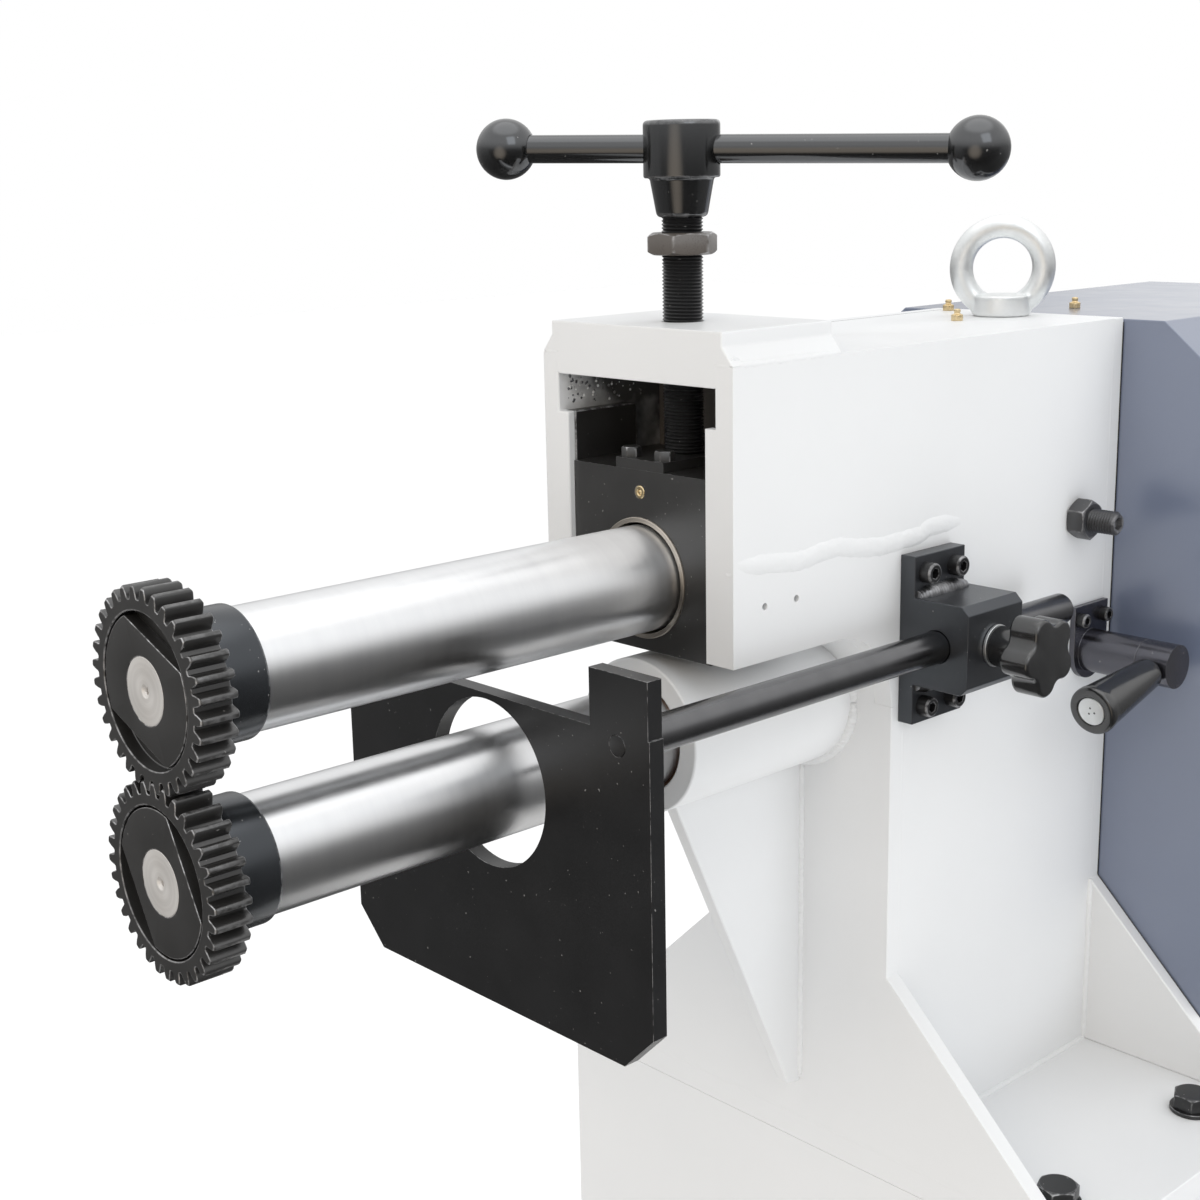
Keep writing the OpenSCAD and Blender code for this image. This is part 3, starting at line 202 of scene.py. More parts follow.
def studio_sky():
    """White for the camera, and a soft gradient for light and reflections."""
    world = bpy.data.worlds.new("studio_sky")
    world.use_nodes = True
    tree = world.node_tree
    way = add(tree, "ShaderNodeTexCoord").outputs["Generated"]
    ray = add(tree, "ShaderNodeLightPath").outputs
    parts = add(tree, "ShaderNodeSeparateXYZ", {"Vector": way})
    height = add(tree, "ShaderNodeMapRange", {"Value": parts.outputs["Z"], "From Min": -1.0, "From Max": 1.0})
    shade = ramp(tree, height.outputs["Result"], [(place, grey(level)) for place, level in SKY_SHADES])
    front = along_way(tree, way, FRONT_WAY, 0.2, 0.45)
    low = along_way(tree, way, (0, 0, -1), -0.1, 0.1)
    zenith = along_way(tree, way, (0, 0, 1), 0.76, 0.9)
    back = along_way(tree, way, BACK_WAY, 0.965, 0.992)
    change = calc(tree, "MULTIPLY", calc(tree, "MULTIPLY", front, low), FRONT_DIM)
    change = calc(tree, "MULTIPLY_ADD", zenith, ZENITH_LIFT, change)
    change = calc(tree, "MULTIPLY_ADD", back, BACK_LIFT, change)
    change = calc(tree, "MULTIPLY", change, ray["Is Glossy Ray"])
    strength = calc(tree, "MULTIPLY_ADD", change, SKY_STRENGTH, SKY_STRENGTH)
    soft = add(tree, "ShaderNodeBackground", {"Color": shade, "Strength": strength})
    warm = calc(tree, "MULTIPLY", along_way(tree, way, GLOW_WAY, 0.87, 1.0), GLOW_STRENGTH)
    warm = calc(tree, "MULTIPLY", warm, ray["Is Glossy Ray"])
    glow = add(tree, "ShaderNodeBackground", {"Color": GLOW_TINT, "Strength": warm})
    both = add(tree, "ShaderNodeAddShader", {0: soft.outputs[0], 1: glow.outputs[0]})
    white = tree.nodes["Background"]
    set_inputs(tree, white, {"Color": (1, 1, 1, 1), "Strength": 1.0})
    choice = add(tree, "ShaderNodeMixShader", {
        0: ray["Is Camera Ray"], 1: both.outputs[0], 2: white.outputs[0]})
    set_inputs(tree, tree.nodes["World Output"], {"Surface": choice.outputs[0]})
    return world


bpy.context.scene.world = studio_sky()
bpy.context.scene.view_settings.view_transform = "Standard"
print("sky of", len(SKY_SHADES), "shades")

# %% Soft boxes and floor
FLOOR_HALF = 14.0
FLOOR_SHADES = [(0.3, grey(0.975)), (0.7, grey(0.985))]
SHEET_ROUGHNESS = 0.9
CARD_WHITE = (0.8, 0.8, 0.8, 1.0)
CARD_OUTLINE = [(-62, 36), (62, 36), (62, 118), (-62, 118)]
COOL = (0.93, 0.99, 1.06)
WARM = (1.24, 1.0, 0.72)
STUDIO_LIGHTS = {
    "key_box": ((2.2, -1.2, 2.8), 1.5, 7.5, COOL, True),
    "front_box": ((0.9, -2.8, 2.1), 1.2, 8.0, WARM, False),
    "top_box": ((0.3, 1.0, 3.4), 1.5, 14.0, COOL, False),
    "side_box": ((2.3, 0.1, 0.4), 1.2, 9.0, COOL, False),
}


def new_object(name, points, edges, faces):
    """A mesh from points and what joins them."""
    mesh = bpy.data.meshes.new(name)
    mesh.from_pydata(points, edges, faces)
    return link_object(name, mesh)


def new_finish(name):
    """A material, its tree and its shader."""
    material = bpy.data.materials.new(name)
    material.use_nodes = True
    return material, material.node_tree, material.node_tree.nodes["Principled BSDF"]


def soft_box(name, place, side, watts, tint, mirrored):
    """A square lamp that looks at the head of the machine."""
    lamp = bpy.data.lights.new(name, "AREA")
    lamp.size = side
    lamp.energy = watts
    lamp.color = tint
    box = link_object(name, lamp)
    box.location = place
    box.rotation_euler = (HEAD - Vector(place)).to_track_quat("-Z", "Y").to_euler()
    box.visible_glossy = mirrored


def stage_sheet(name, corners):
    """A matt sheet that isn't part of the machine, with its tree and its shader."""
    material, tree, shader = new_finish(name)
    shader.inputs["Roughness"].default_value = SHEET_ROUGHNESS
    sheet = new_object(name, corners, [], [(0, 1, 2, 3)])
    sheet.data.materials.append(material)
    return sheet, tree, shader


def studio_floor():
    """A pale floor with a slow change of shade, out of the reflections."""
    corners = [(FLOOR_HALF * x, FLOOR_HALF * y, 0.0) for x, y in ((-1, -1), (1, -1), (1, 1), (-1, 1))]
    sheet, tree, shader = stage_sheet("studio_floor", corners)
    cloud = add(tree, "ShaderNodeTexNoise", {"Scale": 0.6})
    set_inputs(tree, shader, {"Base Color": ramp(tree, cloud.outputs["Fac"], FLOOR_SHADES)})
    sheet.visible_glossy = False


def shaft_card():
    """A white card behind the upper shaft that only reflections see, and only from its front."""
    card, tree, shader = stage_sheet("shaft_card", [at(x, -2, z) for x, z in CARD_OUTLINE])
    shader.inputs["Base Color"].default_value = CARD_WHITE
    side = add(tree, "ShaderNodeNewGeometry")
    clear = add(tree, "ShaderNodeBsdfTransparent")
    choice = add(tree, "ShaderNodeMixShader", {
        0: side.outputs["Backfacing"], 1: shader.outputs["BSDF"], 2: clear.outputs["BSDF"]})
    set_inputs(tree, tree.nodes["Material Output"], {"Surface": choice.outputs["Shader"]})
    for ray in ("camera", "diffuse", "shadow"):
        setattr(card, "visible_" + ray, False)


shaft_card()
for name, setting in STUDIO_LIGHTS.items():
    soft_box(name, *setting)
studio_floor()
print(len(STUDIO_LIGHTS), "soft boxes")

# %% [markdown]
# ## Finishes
# Each finish is a small node tree on Object coordinates, which are metres here.
# A noise of scale 500 therefore has grains of about two millimetres.
# Two attributes of a mesh steer the metal finishes: "edge" is 1 on a rounded edge, where handling
# wears the colour off, and "turned" holds the radius and the length on a lathe-turned piece.

# %% Helpers for finishes
def object_space(tree):
    """Coordinates in metres."""
    return add(tree, "ShaderNodeTexCoord").outputs["Object"]


def noise(tree, where, scale, detail=3.0):
    """Noise from 0 to 1 at that many grains a metre."""
    return add(tree, "ShaderNodeTexNoise", {"Vector": where, "Scale": scale, "Detail": detail}).outputs["Fac"]


def spread(tree, value, low, high, start=0.3, stop=0.7):
    """Spreads a part of a value's range over another range."""
    return add(tree, "ShaderNodeMapRange", {
        "Value": value, "From Min": start, "From Max": stop, "To Min": low, "To Max": high}).outputs["Result"]


def attribute(tree, name, output):
    """An attribute of the mesh."""
    return add(tree, "ShaderNodeAttribute", attribute_name=name).outputs[output]


def relief(tree, height, depth):
    """A normal with bumps of that depth in metres."""
    return add(tree, "ShaderNodeBump", {"Height": height, "Distance": depth}).outputs["Normal"]


def colour_mix(tree, share, first, second):
    """A surface's colour moved towards a second colour, where the share is a value of the surface."""
    mixer = add(tree, "ShaderNodeMix", {"Factor": share, 6: first, 7: (*second, 1.0)}, data_type="RGBA")
    return mixer.outputs[2]


# %% [markdown]
# Sprayed paint is nearly even in colour, with a fine orange peel and a slow change of gloss.
# Inside the window of the arm the left wall gets painted shade: its paint is darker, most of all at the back
# and the top, in blotches.

# %% Paints
# Colour of the painted shade inside the arm's window.
PAINTED_SHADE_COLOUR = (0.030, 0.028, 0.025)


def sprayed(name, light, dark, gloss, peel, lacquer=0.0):
    """Sprayed paint between two close shades, under a clear lacquer or none."""
    material, tree, shader = new_finish(name)
    where = object_space(tree)
    set_inputs(tree, shader, {
        "Base Color": ramp(tree, noise(tree, where, 5.0, 4.0), [(0.35, dark), (0.65, light)]),
        "Roughness": spread(tree, noise(tree, where, 24.0), gloss - 0.04, gloss + 0.06),
        "Normal": relief(tree, noise(tree, where, 420.0, 2.0), peel),
        "Coat Weight": lacquer, "Coat Roughness": 0.24, "Coat IOR": 1.8})
    return material


def with_painted_shade(name, *paint):
    """Paint with painted shade inside the window of the arm: darker towards the back and the top, in blotches.
    """
    material = sprayed(name, *paint)
    tree = material.node_tree
    shader = tree.nodes["Principled BSDF"]
    where = object_space(tree)
    parts = add(tree, "ShaderNodeSeparateXYZ", {"Vector": where}).outputs
    inner_wall = spread(tree, parts["X"], 0.0, 1.0, at(-66.5, 0, 0).x, at(-65, 0, 0).x)
    behind = spread(tree, parts["Y"], 0.0, 1.0, at(0, 3, 0).y, at(0, 9, 0).y)
    deep = spread(tree, parts["Y"], 0.0, 1.0, at(0, 6, 0).y, at(0, 50, 0).y)
    high = spread(tree, parts["Z"], 0.0, 1.0, at(0, 0, 92).z, at(0, 0, 112).z)
    # Painted shade: darker deeper in the window and near its top, broken up by noise.
    shade_depth = calc(tree, "ADD", deep, calc(tree, "MULTIPLY", deep, high))
    shade_depth = calc(tree, "ADD", shade_depth, noise(tree, where, 90.0, 5.0))
    painted_shade = calc(tree, "MULTIPLY", inner_wall, behind)
    painted_shade = calc(tree, "MULTIPLY", painted_shade, spread(tree, shade_depth, 0.0, 0.95, 0.5, 1.7))
    paint_colour = shader.inputs["Base Color"].links[0].from_socket
    set_inputs(tree, shader, {"Base Color": colour_mix(tree, painted_shade, paint_colour, PAINTED_SHADE_COLOUR)})
    return material


WHITE_COAT = ((0.795, 0.800, 0.802), (0.770, 0.776, 0.778), 0.36, 0.00005)
WHITE = sprayed("white_paint", *WHITE_COAT)
PAINTED_SHADE_WALL = with_painted_shade("window_painted_shade", *WHITE_COAT)
SLATE = sprayed("slate_paint", (0.156, 0.186, 0.268), (0.146, 0.174, 0.251), 0.32, 0.00005, 0.9)
CAST_GREY = sprayed("cast_paint", (0.36, 0.37, 0.39), (0.30, 0.31, 0.33), 0.55, 0.0004)
# A dark warm grey primer, darkened to stand in for the shade at the back of the arm's window: painted shade.
PRIMER_PAINTED_SHADE = sprayed("primer_painted_shade", (0.135, 0.118, 0.102), (0.085, 0.075, 0.066), 0.50, 0.0001)
MOTOR_GREY = sprayed("motor_paint", (0.25, 0.27, 0.30), (0.21, 0.23, 0.26), 0.45, 0.0002)
print("paints made")


# %% [markdown]
# Black oxide is a thin dark skin on steel. It is cloudy, a few grains of dust lie on it,
# and the steel shines through where an edge is touched often.

# %% Blackened steel
DUST = (0.55, 0.54, 0.52)
BARE_STEEL = (0.58, 0.58, 0.59)
BLUISH = (0.86, 0.92, 1.0)
POLISHED = 0.000001


def blackened(name, dark, light, gloss, wear, index, tint=(1.0, 1.0, 1.0), grain=0.000004):
    """Black oxide with worn edges."""
    material, tree, shader = new_finish(name)
    where = object_space(tree)
    cloud = noise(tree, where, 34.0, 6.0)
    speck = noise(tree, where, 1500.0, 2.0)
    patch = spread(tree, noise(tree, where, 260.0, 5.0), 0.0, wear, 0.38, 0.68)
    bare = calc(tree, "MULTIPLY", attribute(tree, "edge", "Fac"), patch)
    dust = spread(tree, noise(tree, where, 430.0, 1.0), 0.0, 0.35, 0.765, 0.80)
    dusty = colour_mix(tree, dust, ramp(tree, cloud, [(0.30, dark), (0.72, light)]), DUST)
    set_inputs(tree, shader, {
        "Base Color": colour_mix(tree, bare, dusty, BARE_STEEL), "Metallic": bare,
        "Roughness": spread(tree, calc(tree, "ADD", speck, cloud), gloss - 0.03, gloss + 0.03, 0.7, 1.3),
        "Normal": relief(tree, speck, grain), "IOR": index, "Specular Tint": (*tint, 1.0)})
    return material


BLACK = blackened("black_oxide", (0.009, 0.009, 0.0095), (0.0130, 0.0130, 0.0138), 0.34, 0.8, 1.55)
BLACK_WARM = blackened("worn_black_oxide", (0.0175, 0.0169, 0.0162), (0.027, 0.0263, 0.0257), 0.32, 1.0, 1.8)
BLACK_SATIN = blackened("satin_black", (0.004, 0.0039, 0.0037), (0.007, 0.0068, 0.0066), 0.14, 0.15, 2.0,
                        (0.95, 0.97, 1.0), POLISHED)
BLUE_BLACK = blackened("blue_black", (0.006, 0.0064, 0.0070), (0.009, 0.0096, 0.0106), 0.24, 0.5, 1.75,
                       BLUISH, POLISHED)
CLAMP_BLACK = blackened("clamp_black", (0.014, 0.0146, 0.0162), (0.024, 0.0250, 0.0275), 0.32, 1.0, 1.75,
                        BLUISH)
LEVER_BLACK = blackened("lever_black", (0.008, 0.0075, 0.0088), (0.011, 0.0103, 0.0122), 0.25, 0.4, 2.2,
                        (0.88, 0.88, 1.0), POLISHED)
GREY_OXIDE = blackened("grey_oxide", (0.040, 0.041, 0.044), (0.060, 0.060, 0.064), 0.33, 0.8, 1.6)
PHOSPHATE = blackened("phosphate_grey", (0.080, 0.069, 0.060), (0.115, 0.102, 0.092), 0.30, 0.9, 1.6)
print("blackened finishes made")


# %% [markdown]
# A ground or turned surface carries rings round its axis. The rings are noise that depends only on the
# radius and the length of the turned piece, so they run round shafts and make circles on end faces.
# Such rings stretch each reflection across them, which the shader calls anisotropic.

# %% Bright metals
def machined(name, dark, light, gloss, rings, metal=1.0, turn=0.25):
    """Bright metal with lathe or grinding rings."""
    material, tree, shader = new_finish(name)
    lathe = attribute(tree, "turned", "Vector")
    coarse = noise(tree, lathe, 240.0, 4.0)
    uneven = calc(tree, "ADD", coarse, noise(tree, object_space(tree), 60.0, 4.0))
    grain = add(tree, "ShaderNodeTangent", direction_type="RADIAL", axis="Y")
    set_inputs(tree, shader, {
        "Base Color": ramp(tree, coarse, [(0.3, dark), (0.7, light)]),
        "Roughness": spread(tree, uneven, gloss - 0.03, gloss + 0.04, 0.7, 1.3),
        "Normal": relief(tree, noise(tree, lathe, 900.0, 2.0), rings),
        "Metallic": metal, "Anisotropic": 0.65, "Anisotropic Rotation": turn,
        "Tangent": grain.outputs["Tangent"]})
    return material


def clouded(name, dark, light, gloss, grain, vary=0.06):
    """Bright metal without rings: plated, cast or drawn."""
    material, tree, shader = new_finish(name)
    where = object_space(tree)
    set_inputs(tree, shader, {
        "Base Color": ramp(tree, noise(tree, where, 70.0, 5.0), [(0.3, dark), (0.7, light)]),
        "Roughness": spread(tree, noise(tree, where, 320.0), gloss - vary, gloss + vary),
        "Normal": relief(tree, noise(tree, where, 700.0), grain), "Metallic": 1.0})
    return material


FACED = machined("faced_steel", (0.66, 0.64, 0.615), (0.80, 0.78, 0.755), 0.40, 0.000002, 0.5, 0.0)
GROUND = machined("ground_steel", (0.77, 0.775, 0.785), (0.80, 0.805, 0.81), 0.33, 0.000001)
ZINC = clouded("zinc_plate", (0.80, 0.82, 0.82), (0.90, 0.91, 0.905), 0.44, 0.000012)
BRASS = clouded("bright_brass", (0.70, 0.54, 0.30), (0.82, 0.67, 0.42), 0.30, 0.000003)
BRONZE = machined("bush_bronze", (0.50, 0.45, 0.39), (0.62, 0.57, 0.50), 0.34, 0.000002)
COPPER_BROWN = machined("brown_bush", (0.28, 0.16, 0.10), (0.36, 0.22, 0.14), 0.34, 0.000002)
BARE_WELD = clouded("bare_weld", (0.16, 0.16, 0.165), (0.42, 0.42, 0.43), 0.42, 0.00004)
DRAWN = clouded("drawn_rod", (0.155, 0.155, 0.160), (0.175, 0.175, 0.180), 0.26, 0.0000001, 0.01)
print("metals made")


# %% [markdown]
# Moulded black plastic is glossy, with a trace of the mould's polish marks.

# %% Moulded plastic
def moulded(name, deep, colour, gloss):
    """Glossy moulded plastic."""
    material, tree, shader = new_finish(name)
    where = object_space(tree)
    set_inputs(tree, shader, {
        "Base Color": ramp(tree, noise(tree, where, 110.0, 4.0), [(0.3, deep), (0.7, colour)]),
        "Roughness": spread(tree, noise(tree, where, 60.0), gloss - 0.03, gloss + 0.05),
        "Normal": relief(tree, noise(tree, where, 300.0, 2.0), 0.00003), "IOR": 1.85})
    return material


PLASTIC = moulded("black_plastic", (0.009, 0.009, 0.009375), (0.012, 0.012, 0.0125), 0.16)
print("plastic made")

# %% [markdown]
# ## Dressing a solid
# The frame's meshes are loose triangles with knife edges. A copy is welded together, its flat triangles are
# joined, and a Bevel modifier rounds each edge, because only a rounded edge catches a line of light.
# The modifier marks the faces that it adds, and that mark becomes the "edge" attribute.

# %% Helpers for pieces
WELD_DISTANCE = 0.00001
FLAT_ANGLE = math.radians(0.4)
BEVEL_ANGLE = math.radians(32)
SHARP_ANGLE = math.radians(38)


def from_shape(name, shape):
    """A mesh from a shape, which is freed."""
    mesh = bpy.data.meshes.new(name)
    shape.to_mesh(mesh)
    shape.free()
    return link_object(name, mesh)


def freeze(thing):
    """Turns an object and its modifiers into a plain mesh."""
    graph = bpy.context.evaluated_depsgraph_get()
    mesh = bpy.data.meshes.new_from_object(thing.evaluated_get(graph), depsgraph=graph)
    old = thing.data
    thing.modifiers.clear()
    thing.data = mesh
    bpy.data.meshes.remove(old)
    return thing


def set_points(mesh, name, kind, field, values):
    """Writes one value for each point of a mesh."""
    layer = mesh.attributes.get(name) or mesh.attributes.new(name, kind, "POINT")
    flat = [part for value in values for part in value] if field == "vector" else list(values)
    layer.data.foreach_set(field, flat)


def smooth(mesh):
    """Smooth shading that stops at sharp edges."""
    mesh.shade_smooth()
    mesh.set_sharp_from_angle(angle=SHARP_ANGLE)


def welded_copy(name, node):
    """A clean copy of a solid, with flat triangles joined."""
    shape = bmesh.new()
    shape.from_mesh(frame["nodes"][node].data)
    bmesh.ops.remove_doubles(shape, verts=shape.verts, dist=WELD_DISTANCE)
    bmesh.ops.dissolve_limit(shape, angle_limit=FLAT_ANGLE, verts=shape.verts, edges=shape.edges)
    shape.verts.index_update()
    points = [point.co.copy() for point in shape.verts]
    faces = [[point.index for point in face.verts] for face in shape.faces]
    shape.free()
    return new_object(name, points, [], faces)


def round_edges(thing, width, segments=2):
    """Rounds the edges and marks the faces on them."""
    thing.data.materials.append(None)
    thing.data.materials.append(None)
    smooth(thing.data)
    bevel = thing.modifiers.new("rounded_edges", "BEVEL")
    bevel.width = width
    bevel.segments = segments
    bevel.limit_method = "ANGLE"
    bevel.angle_limit = BEVEL_ANGLE
    bevel.material = 1
    level_faces = thing.modifiers.new("level_faces", "WEIGHTED_NORMAL")
    level_faces.keep_sharp = True
    freeze(thing)
    mesh = thing.data
    bevelled = mesh.attributes.new("edge", "FLOAT", "FACE")
    bevelled.data.foreach_set("value", [float(face.material_index) for face in mesh.polygons])
    mesh.polygons.foreach_set("material_index", [0] * len(mesh.polygons))
    mesh.materials.clear()
    return thing


def carve(thing, other, operation="DIFFERENCE"):
    """Cuts another solid out of a piece, or joins it on, and removes that solid."""
    step = thing.modifiers.new("carve", "BOOLEAN")
    step.operation = operation
    step.solver = "EXACT"
    step.object = other
    freeze(thing)
    bpy.data.objects.remove(other)
    smooth(thing.data)
    return thing


def prism(name, outline, start, end):
    """A prism along Y from an outline of places across it, in millimetres on the head."""
    shape = bmesh.new()
    near = [shape.verts.new(at(x, start, z)) for x, z in outline]
    far = [shape.verts.new(at(x, end, z)) for x, z in outline]
    shape.faces.new(near)
    shape.faces.new(far)
    for n in range(len(outline)):
        after = (n + 1) % len(outline)
        shape.faces.new((near[n], near[after], far[after], far[n]))
    bmesh.ops.recalc_face_normals(shape, faces=shape.faces)
    return from_shape(name, shape)


def mark_turning(thing, centre, axis):
    """Notes each point's radius and length about an axis."""
    axis = Vector(axis).normalized()
    marks = []
    for point in thing.data.vertices:
        offset = point.co - centre
        along = offset.dot(axis)
        marks.append(((offset - along * axis).length, along, 0.0))
    set_points(thing.data, "turned", "FLOAT_VECTOR", "vector", marks)
    return thing


def attach(thing, finish, body):
    """Paints a piece and lets it ride on a body."""
    thing.data.materials.clear()
    thing.data.materials.append(finish)
    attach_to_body(thing, body)
    return thing


def body_of(node):
    """The body that a solid rides on."""
    return frame["nodes"][node]["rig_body"]


def fit(thing, finish, node):
    """Paints a piece that stands for a solid."""
    attach(thing, finish, body_of(node))
    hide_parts(node)
    return thing


def dress(node, finish, width, segments=2):
    """A solid's own form with rounded edges."""
    thing = round_edges(welded_copy(node + "_dressed", node), width * MM, segments)
    return fit(thing, finish, node)


def keep(node, finish):
    """A solid that stays as it is, in a better finish."""
    mesh = frame["nodes"][node].data
    mesh.materials.clear()
    mesh.materials.append(finish)


# %% [markdown]
# Most pieces of a machine are turned on a lathe, so one helper revolves an outline.
# An outline is a list of rows: length along the axis, radius, and how much the row is a worn edge.
# When the outline is a function of the angle, the same helper makes hexagons and sockets.

# %% Helpers for turned pieces
TURN_STEPS = 96


def rows_of(corners, radius, steps=3):
    """Rows of an outline in millimetres whose inner corners are rounded."""
    corners = [Vector(corner) for corner in corners]
    rows = [(*corners[0] * MM, 0.0)]
    for before, here, after in zip(corners, corners[1:], corners[2:]):
        back = before - here
        onward = after - here
        reach = min(radius, 0.45 * back.length, 0.45 * onward.length)
        start = here + back.normalized() * reach
        stop = here + onward.normalized() * reach
        for step in range(steps + 1):
            share = step / steps
            point = (1 - share) ** 2 * start + 2 * share * (1 - share) * here + share ** 2 * stop
            worn = 1.0 if 0 < step < steps else 0.0
            rows.append((*point * MM, worn))
    rows.append((*corners[-1] * MM, 0.0))
    return rows


def skin(name, loops, marks, worn, ring):
    """Joins loops of equally many points by a skin; a ring's last loop joins its first."""
    count = len(loops[0])
    points = [point for loop in loops for point in loop]
    faces = []
    for row in range(len(loops) if ring else len(loops) - 1):
        here = row * count
        there = (row + 1) % len(loops) * count
        for step in range(count):
            after = (step + 1) % count
            faces.append((here + step, here + after, there + after, there + step))
    thing = new_object(name, points, [], faces)
    mesh = thing.data
    set_points(mesh, "turned", "FLOAT_VECTOR", "vector", [mark for loop in marks for mark in loop])
    set_points(mesh, "edge", "FLOAT", "value", [share for loop in worn for share in loop])
    shape = bmesh.new()
    shape.from_mesh(mesh)
    bmesh.ops.remove_doubles(shape, verts=shape.verts, dist=0.0000005)
    bmesh.ops.dissolve_degenerate(shape, edges=shape.edges, dist=0.0000002)
    bmesh.ops.recalc_face_normals(shape, faces=shape.faces)
    shape.to_mesh(mesh)
    shape.free()
    smooth(mesh)
    return thing


def turned(name, outline, centre, axis, steps=TURN_STEPS, ring=False):
    """Revolves an outline about an axis; a ring's outline closes on itself."""
    axis = Vector(axis).normalized()
    side = Vector((0, 0, 1)) if abs(axis.x) > 0.5 else Vector((1, 0, 0))
    up = axis.cross(side)
    angles = [2 * math.pi * step / steps for step in range(steps)]
    columns = [outline(angle) if callable(outline) else outline for angle in angles]
    loops = []
    marks = []
    worn = []
    for cells in zip(*columns):
        loops.append([Vector(centre) + along * axis + radius * (math.cos(angle) * side + math.sin(angle) * up)
                      for angle, (along, radius, edge) in zip(angles, cells)])
        marks.append([(radius, along, 0.0) for along, radius, edge in cells])
        worn.append([edge for along, radius, edge in cells])
    return skin(name, loops, marks, worn, ring)


def hexagon_radius(flats, angle):
    """Radius of a hexagon at an angle, with a corner at no angle."""
    sector = angle % (math.pi / 3) - math.pi / 6
    return flats / 2 / math.cos(sector)


def hexagon_rows(flats, low, high, bore=0.0, under=True):
    """Outline of a nut or bolt head in millimetres, its corners turned off by a flat cone."""
    inner = 0.475 * flats
    slope = math.tan(math.radians(28))

    def rows(angle):
        corner = hexagon_radius(flats, angle)
        worn = 0.8 if corner > 0.565 * flats else 0.0
        drop = (corner - inner) * slope
        foot = drop if under else 0.0
        outline = [(low, bore, 0.0), (low, inner if under else corner, 0.0), (low + foot, corner, worn),
                   (high - drop - 0.3, corner, worn), (high - drop + 0.1, corner - 0.3, 1.0),
                   (high - 0.1, inner + 0.3, 0.0), (high, inner, 0.6), (high, inner - 0.4, 0.0),
                   (high, bore, 0.0)]
        return [(along * MM, radius * MM, edge) for along, radius, edge in outline]

    return rows


def cap_head_rows(head, height, key, shank):
    """Outline of a socket head in millimetres, with a knurled side and a hexagon socket."""
    radius = head / 2
    knurls = 32
    knurl = 0.12
    depth = 0.55 * height

    def rows(angle):
        side = radius - knurl * (0.5 + 0.5 * math.cos(knurls * angle))
        socket = hexagon_radius(key, angle)
        outline = [(-shank, 0.0, 0.0), (-shank, 0.6 * radius, 0.0), (0.0, 0.6 * radius, 0.0), (0.0, side, 0.0),
                   (height - 1.4, side, 0.0), (height - 1.2, radius - 0.1, 0.7),
                   (height - 0.4, radius - 0.5, 1.0), (height, radius - 1.1, 1.0),
                   (height, radius - 1.5, 0.0), (height, socket + 0.5, 0.0),
                   (height - 0.3, socket, 0.8), (height - 0.6, socket, 0.0),
                   (height - depth, socket, 0.0), (height - depth - 0.8, 0.0, 0.0)]
        return [(along * MM, size * MM, edge) for along, size, edge in outline]

    return rows


# %% [markdown]
# ## Node trees that repeat or follow a path
# Geometry Nodes set the same screw at many places, wind a thread and lay a weld along a seam.
# Each tree has named inputs. The result is turned into a plain mesh, so that the modifier can go.

# %% Helpers for geometry nodes
def geometry_tree(name, inputs):
    """An empty tree with named inputs and a finish; returns the tree and what it is given."""
    tree = bpy.data.node_groups.new(name, "GeometryNodeTree")
    tree.interface.new_socket("Geometry", in_out="INPUT", socket_type="NodeSocketGeometry")
    for label, kind in {**inputs, "Finish": "Material"}.items():
        tree.interface.new_socket(label, in_out="INPUT", socket_type="NodeSocket" + kind)
    tree.interface.new_socket("Geometry", in_out="OUTPUT", socket_type="NodeSocketGeometry")
    return tree, add(tree, "NodeGroupInput").outputs


def finish_tree(tree, given, made):
    """Ends a tree with plain geometry in one finish."""
    real = add(tree, "GeometryNodeRealizeInstances", {"Geometry": made})
    paint = add(tree, "GeometryNodeSetMaterial", {
        "Geometry": real.outputs["Geometry"], "Material": given["Finish"]})
    add(tree, "NodeGroupOutput", {"Geometry": paint.outputs["Geometry"]})
    return tree


def grow(name, points, edges, tree, values):
    """Runs a tree on points and edges and keeps the result as a plain mesh."""
    thing = new_object(name, points, edges, [])
    modifier = thing.modifiers.new("grow", "NODES")
    modifier.node_group = tree
    for socket in tree.interface.items_tree:
        if socket.in_out == "INPUT" and socket.name in values:
            modifier[socket.identifier] = values[socket.name]
    return freeze(thing)


# %% Trees for screws and threads
def screw_places_tree():
    """Sets one object at every point, each turned by chance about its axis and sized by chance."""
    tree, given = geometry_tree("screw_places", {
        "Screw": "Object", "Axis": "Vector", "Smallest": "Float", "Seed": "Int"})
    seed = given["Seed"]
    chance = add(tree, "FunctionNodeRandomValue", {3: math.pi / 3, "Seed": seed}, data_type="FLOAT")
    size = add(tree, "FunctionNodeRandomValue", {2: given["Smallest"], "Seed": seed}, data_type="FLOAT")
    turn = add(tree, "FunctionNodeAxisAngleToRotation", {"Axis": given["Axis"], "Angle": chance.outputs[1]})
    screw = add(tree, "GeometryNodeObjectInfo", {"Object": given["Screw"]})
    put = add(tree, "GeometryNodeInstanceOnPoints", {
        "Points": given["Geometry"], "Instance": screw.outputs["Geometry"],
        "Rotation": turn.outputs["Rotation"], "Scale": size.outputs[1]})
    return finish_tree(tree, given, put.outputs["Instances"])


